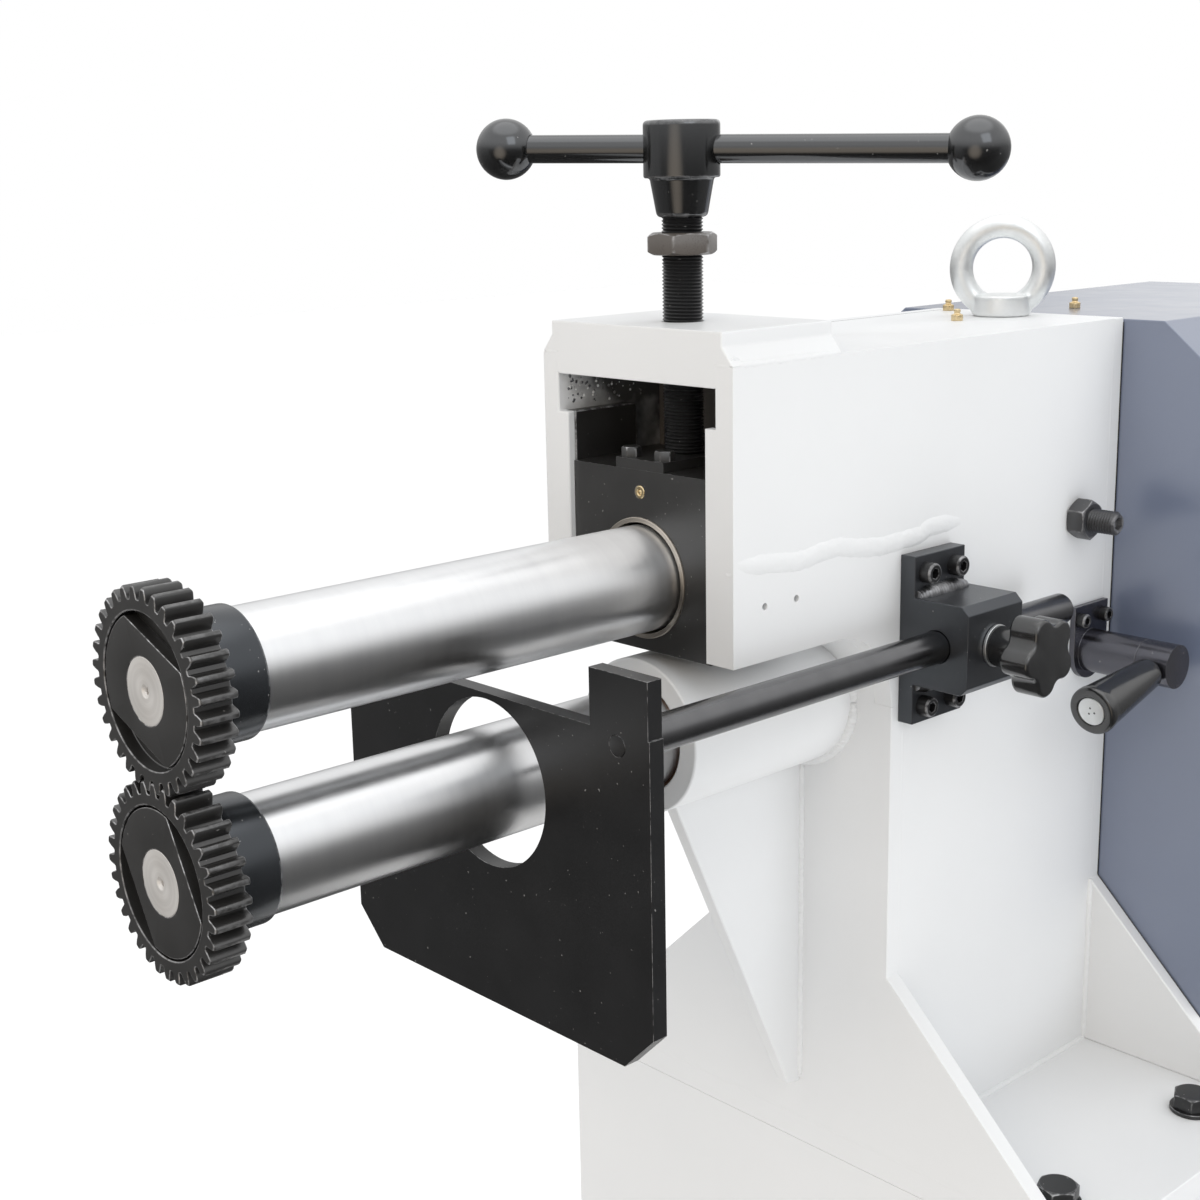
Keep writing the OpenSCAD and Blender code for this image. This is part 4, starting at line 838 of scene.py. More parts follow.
def thread_tree():
    """Winds a pointed ridge along Z."""
    tree, given = geometry_tree("thread", dict.fromkeys(("Turns", "Radius", "Length", "Ridge"), "Float"))
    coil = add(tree, "GeometryNodeCurveSpiral", {
        "Resolution": 40, "Rotations": given["Turns"], "Start Radius": given["Radius"],
        "End Radius": given["Radius"], "Height": given["Length"]})
    level_coil = add(tree, "GeometryNodeSetCurveNormal", {"Curve": coil.outputs["Curve"]}, mode="Z_UP")
    ridge = add(tree, "GeometryNodeCurvePrimitiveCircle", {"Resolution": 4, "Radius": given["Ridge"]})
    sweep = add(tree, "GeometryNodeCurveToMesh", {
        "Curve": level_coil.outputs["Curve"], "Profile Curve": ridge.outputs["Curve"], "Fill Caps": True})
    flat = add(tree, "GeometryNodeSetShadeSmooth", {"Geometry": sweep.outputs["Mesh"], "Shade Smooth": False})
    return finish_tree(tree, given, flat.outputs["Geometry"])


SCREW_PLACES = screw_places_tree()
THREAD = thread_tree()
print("trees:", SCREW_PLACES.name, THREAD.name)


# %% Tree for welds
def weld_tree():
    """Lays a bead along edges, with the ripples and lumps of a hand-run weld."""
    numbers = ("Radius", "Ripple", "Height", "Lumps", "Seed", "Taper", "Drop", "Step")
    tree, given = geometry_tree("weld", {"Sides": "Int", **dict.fromkeys(numbers, "Float")})
    path = add(tree, "GeometryNodeMeshToCurve", {"Mesh": given["Geometry"]})
    even = add(tree, "GeometryNodeResampleCurve", {"Curve": path.outputs["Curve"], "Length": given["Step"]},
               mode="LENGTH")
    along = add(tree, "GeometryNodeSplineParameter").outputs["Length"]
    whole = add(tree, "GeometryNodeSplineLength").outputs["Length"]
    noted = add(tree, "GeometryNodeCaptureAttribute")
    noted.capture_items.new("FLOAT", "Along")
    set_inputs(tree, noted, {"Geometry": even.outputs["Curve"], "Along": along})
    nearest = calc(tree, "MINIMUM", along, calc(tree, "SUBTRACT", whole, along))
    inside = calc(tree, "MINIMUM", calc(tree, "DIVIDE", nearest, given["Taper"]), 1.0)
    loss = calc(tree, "MULTIPLY", calc(tree, "SUBTRACT", 1.0, inside), given["Drop"])
    round_bead = add(tree, "GeometryNodeCurvePrimitiveCircle", {
        "Resolution": given["Sides"], "Radius": given["Radius"]})
    sweep = add(tree, "GeometryNodeCurveToMesh", {
        "Curve": noted.outputs["Geometry"], "Profile Curve": round_bead.outputs["Curve"],
        "Scale": calc(tree, "SUBTRACT", 1.0, loss), "Fill Caps": True})
    turns = calc(tree, "DIVIDE", noted.outputs["Along"], given["Ripple"])
    wave = calc(tree, "SINE", calc(tree, "MULTIPLY", turns, 2 * math.pi))
    ripple = calc(tree, "MULTIPLY", wave, given["Height"])
    place = add(tree, "GeometryNodeInputPosition")
    lumps = add(tree, "ShaderNodeTexNoise", {
        "Vector": place.outputs["Position"], "W": given["Seed"], "Scale": 170.0, "Detail": 3.0},
        noise_dimensions="4D")
    lump = calc(tree, "MULTIPLY", calc(tree, "SUBTRACT", lumps.outputs["Fac"], 0.5), given["Lumps"])
    outward = add(tree, "GeometryNodeInputNormal")
    push = add(tree, "ShaderNodeVectorMath", {
        0: outward.outputs["Normal"], "Scale": calc(tree, "ADD", ripple, lump)}, operation="SCALE")
    move = add(tree, "GeometryNodeSetPosition", {
        "Geometry": sweep.outputs["Mesh"], "Offset": push.outputs["Vector"]})
    rounded = add(tree, "GeometryNodeSetShadeSmooth", {"Geometry": move.outputs["Geometry"]})
    return finish_tree(tree, given, rounded.outputs["Geometry"])


WELD = weld_tree()
print("tree:", WELD.name)


# %% Helpers that use the trees
def repeat(name, screw, places, axis, finish, seed, smallest=1.0):
    """One piece with the same screw at every place; the screw itself is removed."""
    made = grow(name, places, [], SCREW_PLACES, {
        "Screw": screw, "Axis": axis, "Smallest": smallest, "Seed": seed, "Finish": finish})
    bpy.data.objects.remove(screw)
    return made


def wind(name, centre, axis, length, diameter, pitch, finish):
    """A thread of that outer diameter, in millimetres, from a centre along an axis."""
    ridge = 0.55 * pitch
    made = grow(name, [(0, 0, 0)], [], THREAD, {
        "Turns": length / pitch, "Radius": (diameter / 2 - ridge) * MM, "Length": length * MM,
        "Ridge": ridge * MM, "Finish": finish})
    turn = Vector(axis).to_track_quat("Z", "Y").to_matrix().to_4x4()
    made.data.transform(Matrix.Translation(centre) @ turn)
    return made


def weld(name, paths, radius, ripple, height, lumps, seed, sides=14, taper=8.0, drop=0.4, step=0.7,
         finish=WHITE):
    """Beads on the frame along lists of points, in millimetres; their ends lose a share of the radius."""
    points = []
    edges = []
    for path in paths:
        first = len(points)
        points.extend(path)
        edges.extend((first + n, first + n + 1) for n in range(len(path) - 1))
    made = grow(name, points, edges, WELD, {
        "Radius": radius * MM, "Ripple": ripple * MM, "Height": height * MM, "Lumps": lumps * MM,
        "Seed": seed, "Sides": sides, "Taper": taper * MM, "Drop": drop, "Step": step * MM,
        "Finish": finish})
    return attach(made, finish, "frame")

# %% [markdown]
# ## The welded frame
# The frame is cut from plate, welded, ground and painted as one. Paint rounds its edges a little,
# the nut block on top most of all, because weld was run round it and ground back.

# %% Frame plates
FRAME_EDGES = {
    "base_plate": 1.5, "front_plate": 1.0, "rear_plate": 1.0, "side_plate_right": 1.0,
    "arm_top_plate": 0.6, "lower_housing": 1.0, "housing_gusset": 0.8,
}
for node, width in FRAME_EDGES.items():
    dress(node, WHITE, width)
dress("nut_block", WHITE, 3.0, 4)
# The left plate carries painted shade inside the arm's window.
dress("side_plate_left", PAINTED_SHADE_WALL, 1.0)
# The bulkhead at the back of the window gets primer with painted shade.
dress("arm_bulkhead", PRIMER_PAINTED_SHADE, 0.5)
print(len(FRAME_EDGES) + 3, "frame pieces")

# %% [markdown]
# Fillet welds follow the seams of the plates. They are swept along the seam with ripples and lumps,
# and the paint covers them. A long low bead on the arm's side is what grinding left of a seam.

# %% Frame welds
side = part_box("side_plate_right")
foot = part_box("front_plate")
back_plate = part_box("rear_plate")
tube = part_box("lower_housing")
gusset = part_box("housing_gusset")


def circle_path(centre, radius, steps=72):
    """Points round a circle across Y."""
    angles = [2 * math.pi * step / steps for step in range(steps + 1)]
    return [centre + Vector((math.cos(a), 0, math.sin(a))) * radius for a in angles]


SEAM = [(1, 19.5), (15, 16.8), (32, 15.8), (51, 13.3), (61, 13.4), (75, 15.3), (90, 16.0), (108, 12.5),
        (129, 9.9), (148, 10.6), (168, 11.3), (176, 14.6), (193, 14.8), (211, 13.6)]
SEAM_R = 9.0
SEAM_DEEP = 4.5
SEAM_PROUD = 1.0


def low_seam(name):
    """The low wavy bead along the arm's side, pressed flat."""
    sunk = side[1].x / MM - SEAM_DEEP + SEAM_PROUD
    line = [at(sunk, length, height) for length, height in SEAM]
    bead = weld(name, [line], SEAM_R, 9.0, 0.05, 1.4, 4.0, 96, 18.0, 0.24)
    for vertex in bead.data.vertices:
        vertex.co.x = sunk * MM + (vertex.co.x - sunk * MM) * SEAM_DEEP / SEAM_R
    return bead


THROAT_IN = 0.1425
FLARE_Z = -274.5
CLEAR = 0.004
side_x = side[1].x
front_y = THROAT_IN + ARM_FRONT
tube_low = tube[0].z
foot_z = foot[0].z
rear_y = back_plate[0].y
collar_path = circle_path(Vector((0, front_y, LOWER_AXIS)), (tube[1].x - tube[0].x) / 2)
gusset_paths = []
for x in (gusset[0].x, gusset[1].x):
    under = tube_low + 0.001
    gusset_paths.append([Vector((x, gusset[0].y + CLEAR, under)), Vector((x, front_y, under))])
    gusset_paths.append([Vector((x, front_y, tube_low)), Vector((x, front_y, gusset[0].z + CLEAR))])
foot_paths = []
for x in (side_x, -side_x):
    corner = Vector((x, rear_y, foot_z))
    foot_paths.append([Vector((x, front_y + 0.014, foot_z)), corner])
    foot_paths.append([corner, Vector((x, rear_y, at(0, 0, FLARE_Z).z))])
weld("housing_weld", [collar_path], 4.0, 2.6, 0.25, 2.2, 1.0)
weld("gusset_welds", gusset_paths, 2.4, 2.4, 0.15, 1.8, 2.0)
weld("foot_welds", foot_paths, 2.6, 2.8, 0.1, 1.0, 3.0)
low_seam("arm_seam")
print("beads along", len(gusset_paths) + len(foot_paths) + 2, "seams")

# %% [markdown]
# Where two plates lie flush, the joint is welded, ground flat and painted over, so that it almost vanishes.
# A bead of a large radius that stands a tenth of a millimetre out of the plates does the same here.

# %% Ground joints
GROUND_R = 5.0
GROUND_PROUD = 0.12
REAR_JOINT = 377.5
FRONT_JOINT = 154.5
THROAT_Z = -93.5
LIP_X = 64.5
ARM_TOP = 128.5
BLOCK_BEAD = 2.4
flush = side_x / MM + GROUND_PROUD - GROUND_R
front_flush = GROUND_R - GROUND_PROUD
ground_paths = []
for way in (-1, 1):
    out = way * flush
    lip = way * LIP_X
    ground_paths.append([at(out, REAR_JOINT, FLARE_Z + 1), at(out, REAR_JOINT, 127)])
    ground_paths.append([at(out, FRONT_JOINT, FLARE_Z + 1), at(out, FRONT_JOINT, THROAT_Z)])
    ground_paths.append([at(out, FRONT_JOINT, THROAT_Z), at(out, 144, THROAT_Z)])
    ground_paths.append([at(lip, front_flush, 117), at(lip, front_flush, ARM_TOP)])
    ground_paths.append([at(lip, front_flush, ARM_TOP), at(way * 75, front_flush, ARM_TOP)])
front_ends = (foot[0].x + CLEAR, foot[1].x - CLEAR)
ground_paths.append([Vector((x, front_y + front_flush * MM, foot_z)) for x in front_ends])
weld("ground_joints", ground_paths, GROUND_R, 9.0, 0.0, 0.1, 5.0, 64, 3.0, 0.03, 2.0)
block_side = side_x / MM + GROUND_PROUD - BLOCK_BEAD
block_paths = [[at(way * block_side, 1.5, ARM_TOP), at(way * block_side, 91, ARM_TOP)] for way in (-1, 1)]
weld("block_welds", block_paths, BLOCK_BEAD, 7.0, 0.05, 1.2, 8.0, 24)
print(len(ground_paths), "ground joints")

# %% [markdown]
# ## Floor stand
# The stand is a folded and welded cabinet with foot plates, and a panel screwed over its rear hatch.

# %% Floor stand
dress("floor_stand", WHITE, 2.5, 3)
dress("stand_rear_panel", WHITE, 0.8)
dress("stand_feet", WHITE, 1.0)
print("stand dressed")

# %% [markdown]
# ## Drive cover
# The cover is bent from sheet and painted slate. It holds the gears, the reducer and the motor.
# A thin black strip lies in the joint between the cover and the rear plate of the frame: painted shadow for the
# gap there.

# %% Drive cover and drive
dress("rear_cover", SLATE, 1.2)
HIDDEN_DRIVE = {
    "gear_reducer": CAST_GREY, "drive_motor": MOTOR_GREY, "upper_gear": BLACK, "lower_gear": BLACK,
    "shaft_coupling": BLACK, "output_shaft": GROUND, "shift_sleeve": GROUND, "rear_cradle": BLACK,
    "cradle_bush": BRONZE, "rear_housing": WHITE,
}
for node, finish in HIDDEN_DRIVE.items():
    keep(node, finish)
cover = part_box("rear_cover")
# A black strip along the cover's joint stands for the shadow in the gap: painted shadow.
SHADOW_LINE_R = 0.6
COVER_JOINT = 388.5
SIDE_HALF = 77.5
FLARE_SLOPE = 126.0 / 131.0
plate_top = at(0, 0, ARM_TOP).z
shadow_line_paths = []
for way in (-1, 1):
    corner = at(way * SIDE_HALF, COVER_JOINT - SHADOW_LINE_R, FLARE_Z)
    reach = (cover[1].x - side_x) / MM - 1
    end = corner + Vector((way * reach, 0, -reach * FLARE_SLOPE)) * MM
    shadow_line_paths.append([Vector((corner.x, corner.y, plate_top - 0.003)), corner, end])
weld("cover_seal", shadow_line_paths, SHADOW_LINE_R, 5.0, 0.0, 0.0, 0.0, 12, finish=PLASTIC)


def dome_rows(head, height):
    """Outline of a low domed screw head, in millimetres."""
    return rows_of([(-1.0, 0.0), (-1.0, head / 2), (0.35 * height, head / 2), (height, 0.28 * head),
                    (height, 0.0)], 0.5 * height)


cover_head = turned("cover_screw", dome_rows(11.0, 3.0), (0, 0, 0), (0, 1, 0), 36)
COVER_SCREWS = [(-0.12, 0.03), (0.0, 0.03), (0.12, 0.03), (-0.12, 0.33), (0.12, 0.33)]
cover_places = [Vector((x, cover[1].y, cover[0].z + rise)) for x, rise in COVER_SCREWS]
attach(repeat("cover_screws", cover_head, cover_places, (0, 1, 0), ZINC, 5), ZINC, "frame")
print("cover dressed,", len(HIDDEN_DRIVE), "solids inside it painted")

# %% [markdown]
# ## Bearing block
# The block slides between two strips in the arm's window and holds the upper shaft in a bush.

# %% Bearing block
dress("guide_strips", BLACK_WARM, 0.9)
dress("bearing_block", BLACK_WARM, 1.5, 3)
dress("keeper_plate", BLACK_WARM, 0.6)
bush = dress("block_bush", BRONZE, 0.4)
mark_turning(bush, HEAD, (0, 1, 0))
bush = dress("lower_front_bush", COPPER_BROWN, 0.4)
mark_turning(bush, Vector((0, ARM_FRONT, LOWER_AXIS)), (0, 1, 0))
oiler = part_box("block_oiler")
oiler_rows = rows_of([(10, 0), (10, 4), (0.3, 4), (-0.4, 3.6), (-0.4, 1.9), (0.5, 1.6), (-0.2, 0.9),
                      (-0.4, 0)], 0.4)
oiler_place = Vector((0, oiler[0].y + 0.0004, (oiler[0].z + oiler[1].z) / 2))
fit(turned("block_oiler_turned", oiler_rows, oiler_place, (0, 1, 0), 48), BRASS, "block_oiler")
print("bearing block dressed")

# %% [markdown]
# Welding throws small drops of steel, and some of them stick inside the window under the paint.
# They are little flattened balls, set by the same node tree that sets screws, with a chance size.
# A third of them are painted, and the others have lost their paint.

# %% Weld spatter
SPATTER = 90
SPATTER_SEED = 7
SPATTER_R = 1.1


def spatter_drop():
    """A flattened ball."""
    shape = bmesh.new()
    bmesh.ops.create_icosphere(shape, subdivisions=2, radius=SPATTER_R * MM)
    for point in shape.verts:
        point.co.x *= 0.6
    ball = from_shape("drop", shape)
    ball.data.shade_smooth()
    return ball


chance = random.Random(SPATTER_SEED)
drops = []
for drop in range(SPATTER):
    drops.append(at(-LIP_X, chance.uniform(8, 70), 95 + 20 * chance.random() ** 0.7))
painted_drops = repeat("window_spatter", spatter_drop(), drops[::3], (1, 0, 0), WHITE, 9, 0.2)
attach(painted_drops, WHITE, "frame")
bare_places = drops[1::3] + drops[2::3]
bare_drops = repeat("bare_spatter", spatter_drop(), bare_places, (1, 0, 0), BARE_WELD, 10, 0.2)
attach(bare_drops, BARE_WELD, "frame")
print(len(drops), "drops of spatter")

# %% [markdown]
# ## Adjusting screw and T-handle
# The screw lifts the block. Its thread is a ridge that winds round a thinner core.

# %% Adjusting screw
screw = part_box("adjusting_screw")
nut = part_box("lock_nut")
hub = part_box("handle_hub")
SCREW_AXIS = Vector((0, axis_point("screw_turn").y, 0))
SCREW_D = 24.0
SCREW_PITCH = 2.0
BUTTON_D = 25.0
NECK_D = 15.0
thread_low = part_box("keeper_plate")[1].z + 0.0003
thread_high = hub[0].z
core = SCREW_D / 2 - 1.1 * SCREW_PITCH / 2
low_mm = (screw[0].z - thread_low) / MM
screw_rows = rows_of([(low_mm, 0), (low_mm, BUTTON_D / 2), (-6.6, BUTTON_D / 2), (-6.6, NECK_D / 2),
                      (0, NECK_D / 2), (0, core), ((thread_high - thread_low) / MM + 8, core),
                      ((thread_high - thread_low) / MM + 8, 0)], 0.5)
screw_place = SCREW_AXIS + Vector((0, 0, thread_low))
fit(turned("adjusting_screw_core", screw_rows, screw_place, (0, 0, 1)), BLACK, "adjusting_screw")
thread = wind("adjusting_screw_thread", screw_place, (0, 0, 1), (thread_high - thread_low) / MM, SCREW_D,
              SCREW_PITCH, BLACK)
attach(thread, BLACK, "screw")
lock_rows = hexagon_rows(36.0, 0.0, (nut[1].z - nut[0].z) / MM, SCREW_D / 2 + 0.05)
lock = turned("lock_nut_turned", lock_rows, SCREW_AXIS + Vector((0, 0, nut[0].z)), (0, 0, 1), ring=True)
fit(lock, PHOSPHATE, "lock_nut")
print("thread of", round((thread_high - thread_low) / MM / SCREW_PITCH), "turns")

# %% T-handle
HUB_D = 44.0
HUB_H = 32.0
CONE_D = 29.0
CONE_TOP_D = 37.0
BAR_D = 16.0
hub_top = (hub[1].z - hub[0].z) / MM
hub_rows = rows_of([(0, 0), (0, CONE_D / 2), (hub_top - HUB_H, CONE_TOP_D / 2), (hub_top - HUB_H, HUB_D / 2),
                    (hub_top, HUB_D / 2), (hub_top, 0)], 3.0, 6)
hub_piece = turned("handle_hub_turned", hub_rows, SCREW_AXIS + Vector((0, 0, hub[0].z)), (0, 0, 1), 128)
bar_way = Vector(JOINTS["bar_slide"]["axis"])
bar_middle = Vector((0, SCREW_AXIS.y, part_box("tommy_bar")[0].z / 2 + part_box("tommy_bar")[1].z / 2))
bore_end = HUB_D * MM
bore_r = (BAR_D / 2 + 0.05) * MM
bore_rows = [(-bore_end, 0, 0), (-bore_end, bore_r, 0), (bore_end, bore_r, 0), (bore_end, 0, 0)]
carve(hub_piece, turned("bar_bore", bore_rows, bar_middle, bar_way, 64))
fit(hub_piece, BLACK_SATIN, "handle_hub")
dress("tommy_bar", BLACK_SATIN, 0.6)
dress("ball_knobs", BLACK_SATIN, 0.4)
print("T-handle dressed")

# %% [markdown]
# ## Shafts and rolls
# The shafts are ground, and the rolls, collars and nuts are blackened.
# The end of each shaft shows in the nut as a bright turned disc with a centre drilling.

# %% Shafts and rolls
SHAFT_D = 63.0
END_D = 33.6
SEAT_D = 40.0


def shaft_rows(node, collar):
    """Outline of a shaft from its faced end to its rear, in millimetres from that end."""
    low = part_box(node)[0].y
    shoulder = (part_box(collar)[1].y - low) / MM
    rear = (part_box("rear_cradle")[0].y - low) / MM
    end = (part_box(node)[1].y - low) / MM
    return rows_of([(6, 0), (6, END_D / 2 - 2), (7, END_D / 2 - 2), (7, SEAT_D / 2), (shoulder, SEAT_D / 2),
                    (shoulder, SHAFT_D / 2), (rear, SHAFT_D / 2), (rear, SEAT_D / 2), (end, SEAT_D / 2),
                    (end, 0)], 0.5)


END_ROWS = rows_of([(4.4, 0), (4.2, 1.9), (1.6, 1.9), (0, 3.4), (0, END_D / 2), (8, END_D / 2),
                    (8, 0)], 0.4)


def collar_rows(node):
    """Outline of a collar as a ring."""
    low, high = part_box(node)
    length = (high.y - low.y) / MM
    radius = (high.x - low.x) / 2 / MM
    return rows_of([(length / 2, SEAT_D / 2), (0, SEAT_D / 2), (0, radius), (length, radius),
                    (length, SEAT_D / 2), (length / 2, SEAT_D / 2)], 1.6, 4)


# %% [markdown]
# A roll is a spur gear, so each flank is an involute, the curve that a taut unwinding string draws.
# The outline of the teeth is worked out once. Loops of that outline, drawn in at both faces, make the
# rounded edges, and plain circles make the recess and the bore.

# %% Toothed rolls
ROLL_MODULE = 3.0
ROLL_TEETH = 32
ROLL_SLACK = 0.25
PRESSURE = math.radians(20)
RECESS_R = 38.7
RECESS_IN = 7.0
TOOTH_EDGE = 0.3
WORN_BAND = 0.25
TIP_CHAMFER = 1.2
TIP_R = ROLL_MODULE * (ROLL_TEETH + 2) / 2
ROOT_R = ROLL_MODULE * ROLL_TEETH / 2 - 1.25 * ROLL_MODULE


def tooth_half_angle(radius):
    """Half the angle that a tooth fills at a radius."""
    pitch = ROLL_MODULE * ROLL_TEETH
    slope = math.acos(min(1.0, pitch * math.cos(PRESSURE) / 2 / radius))
    middle = math.pi / 2 / ROLL_TEETH - ROLL_SLACK / 2 / pitch
    return middle + math.tan(PRESSURE) - PRESSURE - math.tan(slope) + slope


def tooth_outline(turn):
    """Points of the outline as polar angle and radius, with rounded tips."""
    base = ROLL_MODULE * ROLL_TEETH * math.cos(PRESSURE) / 2
    foot = max(base, ROOT_R + 0.2)
    flank_steps = 5
    flank = [foot + (TIP_R - TOOTH_EDGE - foot) * step / flank_steps for step in range(flank_steps + 1)]
    half = [(tooth_half_angle(foot) + 0.011, ROOT_R)]
    half.extend((tooth_half_angle(radius), radius) for radius in flank)
    half.append((tooth_half_angle(TIP_R) - TOOTH_EDGE / TIP_R, TIP_R))
    outline = []
    for tooth in range(ROLL_TEETH):
        middle = math.pi / 2 + turn + 2 * math.pi * tooth / ROLL_TEETH
        outline.extend((middle - angle, radius) for angle, radius in half)
        outline.extend((middle + angle, radius) for angle, radius in reversed(half))
    return outline


def drawn_in(outline, depth):
    """The outline moved inwards, square to itself."""
    spots = [Vector((radius * math.cos(angle), radius * math.sin(angle))) for angle, radius in outline]
    moved = []
    for before, here, after in zip(spots[-1:] + spots, spots, spots[1:] + spots[:1]):
        along = (after - before).normalized()
        spot = here + Vector((-along.y, along.x)) * depth
        moved.append((math.atan2(spot.y, spot.x), spot.length))
    return moved


def toothed_roll(name, front, turn):
    """A roll from loops of its outline, from the recess round the teeth to the bore."""
    outline = tooth_outline(turn)
    inner = drawn_in(outline, TOOTH_EDGE)
    deeper = drawn_in(outline, TOOTH_EDGE + WORN_BAND)
    width = (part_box("upper_roll")[1].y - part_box("upper_roll")[0].y) / MM

    def circle(radius):
        return [(angle, radius) for angle, old in outline]

    def chamfered(shape, depth):
        return [(angle, min(radius, TIP_R - TIP_CHAMFER + depth)) for angle, radius in shape]

    stations = [
        (RECESS_IN, circle(SEAT_D / 2), 0.0), (RECESS_IN, circle(RECESS_R - 0.4), 0.0),
        (RECESS_IN - 0.4, circle(RECESS_R), 0.0), (0.8, circle(RECESS_R), 0.0), (0.4, circle(RECESS_R), 0.6),
        (0.0, circle(RECESS_R + 0.4), 0.6), (0.0, circle(RECESS_R + 0.8), 0.0),
        (0.0, chamfered(deeper, -WORN_BAND), 0.0), (0.0, chamfered(inner, 0.0), 0.8),
        (TOOTH_EDGE, chamfered(outline, TOOTH_EDGE), 1.0),
        (TOOTH_EDGE + WORN_BAND, chamfered(outline, 0.6), 0.0),
        (TIP_CHAMFER, outline, 0.0), (width - TIP_CHAMFER, outline, 0.0),
        (width - TOOTH_EDGE - WORN_BAND, chamfered(outline, 0.6), 0.0),
        (width - TOOTH_EDGE, chamfered(outline, TOOTH_EDGE), 1.0), (width, chamfered(inner, 0.0), 0.8),
        (width, chamfered(deeper, -WORN_BAND), 0.0), (width, circle(SEAT_D / 2), 0.0),
    ]
    loops = []
    marks = []
    worn = []
    for along, shape, edge in stations:
        loops.append([front + Vector((math.cos(angle) * radius, along, math.sin(angle) * radius)) * MM
                      for angle, radius in shape])
        marks.append([(radius * MM, along * MM, 0.0) for angle, radius in shape])
        worn.append([max(edge, 0.15 if radius > TIP_R - 0.1 else 0.0) for angle, radius in shape])
    return skin(name, loops, marks, worn, True)


def roll_nut_rows(node, flat_turn):
    """Outline of a round nut with two flats, as a ring in millimetres."""
    low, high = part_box(node)
    length = (high.y - low.y) / MM
    bore = END_D / 2

    def rows(angle):
        across = abs(math.cos(angle + math.radians(flat_turn)))
        radius = min(NUT_D / 2, NUT_FLATS / 2 / max(across, 0.1))
        return rows_of([(length / 2, bore), (0, bore), (0, radius), (length, radius), (length, bore),
                        (length / 2, bore)], 0.5)

    return rows


NUT_D = 75.0
NUT_FLATS = 53.5
ROLL_LINES = (("upper", UPPER_AXIS, math.pi / ROLL_TEETH, 69), ("lower", LOWER_AXIS, 0.0, 29))
for line, height, turn, flat_turn in ROLL_LINES:
    shaft = line + "_shaft"
    collar = line + "_collar"
    roll = line + "_roll"
    start = Vector((0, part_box(shaft)[0].y, height))
    fit(turned(shaft + "_turned", shaft_rows(shaft, collar), start, (0, 1, 0), 128), GROUND, shaft)
    end_face = turned(line + "_shaft_end", END_ROWS, start, (0, 1, 0))
    attach(end_face, FACED, body_of(shaft))
    start = Vector((0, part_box(collar)[0].y, height))
    fit(turned(collar + "_turned", collar_rows(collar), start, (0, 1, 0), 128), BLUE_BLACK, collar)
    start = Vector((0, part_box(roll)[0].y, height))
    fit(toothed_roll(roll + "_toothed", start, turn), BLACK_WARM, roll)
    nut_node = line + "_roll_nut"
    start = Vector((0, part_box(nut_node)[0].y, height))
    nut_rows = roll_nut_rows(nut_node, flat_turn)
    fit(turned(nut_node + "_turned", nut_rows, start, (0, 1, 0), 360, True), BLACK_WARM, nut_node)
print("rolls of", ROLL_TEETH, "teeth")

# %% [markdown]
# ## Gauge and clamp
# The gauge plate slides on a round rod, held by a block with a star knob.
# The block is welded to its flange.

# %% Gauge and clamp
RIVET_D = 11.4
dress("gauge_plate", BLACK, 1.1, 3)
dress("gauge_rod", DRAWN, 0.8)
rod_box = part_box("gauge_rod")
rod_middle = (rod_box[0] + rod_box[1]) / 2
rod_end = Vector((rod_middle.x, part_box("gauge_plate")[0].y, rod_middle.z))
end_rows = rows_of([(1, 0), (1, RIVET_D / 2), (-0.15, RIVET_D / 2), (-0.15, 0)], 0.1)
rivet = turned("rod_end", end_rows, rod_end, (0, 1, 0), 64)
attach(rivet, BLACK, body_of("gauge_plate"))
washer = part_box("knob_washer")
washer_thick = (washer[1].x - washer[0].x) / MM
WASHER_R = 13.0
washer_rows = rows_of([(0, 5.3), (0, WASHER_R), (washer_thick, WASHER_R), (washer_thick, 5.3),
                       (0, 5.3)], 0.3)
washer_start = Vector((washer[0].x, (washer[0].y + washer[1].y) / 2, (washer[0].z + washer[1].z) / 2))
fit(turned("knob_washer_turned", washer_rows, washer_start, (1, 0, 0), 96, True), ZINC, "knob_washer")
CLAMP_FACE = 88.5
CLAMP_OUT = 128.5
CLAMP_TOP = -23.5
CLAMP_LOW = -78.5
CLAMP_START = 149.0
CLAMP_END = 204.0
CLAMP_CUT = 5.0
FLANGE_END = 199.0
FLANGE_HALF = 53.0
ROD_Z = -51.0
CLAMP_OUTLINE = [(CLAMP_FACE - 1, CLAMP_LOW), (CLAMP_OUT - CLAMP_CUT, CLAMP_LOW),
                 (CLAMP_OUT, CLAMP_LOW + CLAMP_CUT), (CLAMP_OUT, CLAMP_TOP - CLAMP_CUT),
                 (CLAMP_OUT - CLAMP_CUT, CLAMP_TOP), (CLAMP_FACE - 1, CLAMP_TOP)]
FLANGE_OUTLINE = [(SIDE_HALF, ROD_Z - FLANGE_HALF), (CLAMP_FACE, ROD_Z - FLANGE_HALF),
                  (CLAMP_FACE, ROD_Z + FLANGE_HALF), (SIDE_HALF, ROD_Z + FLANGE_HALF)]
clamp = prism("clamp_bracket_milled", CLAMP_OUTLINE, CLAMP_START, CLAMP_END)
carve(clamp, prism("flange", FLANGE_OUTLINE, CLAMP_START, FLANGE_END), "UNION")
rod_r = (rod_box[1].x - rod_box[0].x) / 2 + 0.00005
bore_rows = [(-0.5, 0, 0), (-0.5, rod_r, 0), (0.5, rod_r, 0), (0.5, 0, 0)]
carve(clamp, turned("rod_bore", bore_rows, rod_middle, (0, 1, 0)))
fit(round_edges(clamp, 0.9 * MM), CLAMP_BLACK, "clamp_bracket")
seam_x = CLAMP_FACE + 0.6
clamp_seams = [[at(seam_x, 151.0, z), at(seam_x, 197.5, z)] for z in (CLAMP_TOP + 0.4, CLAMP_LOW - 0.4)]
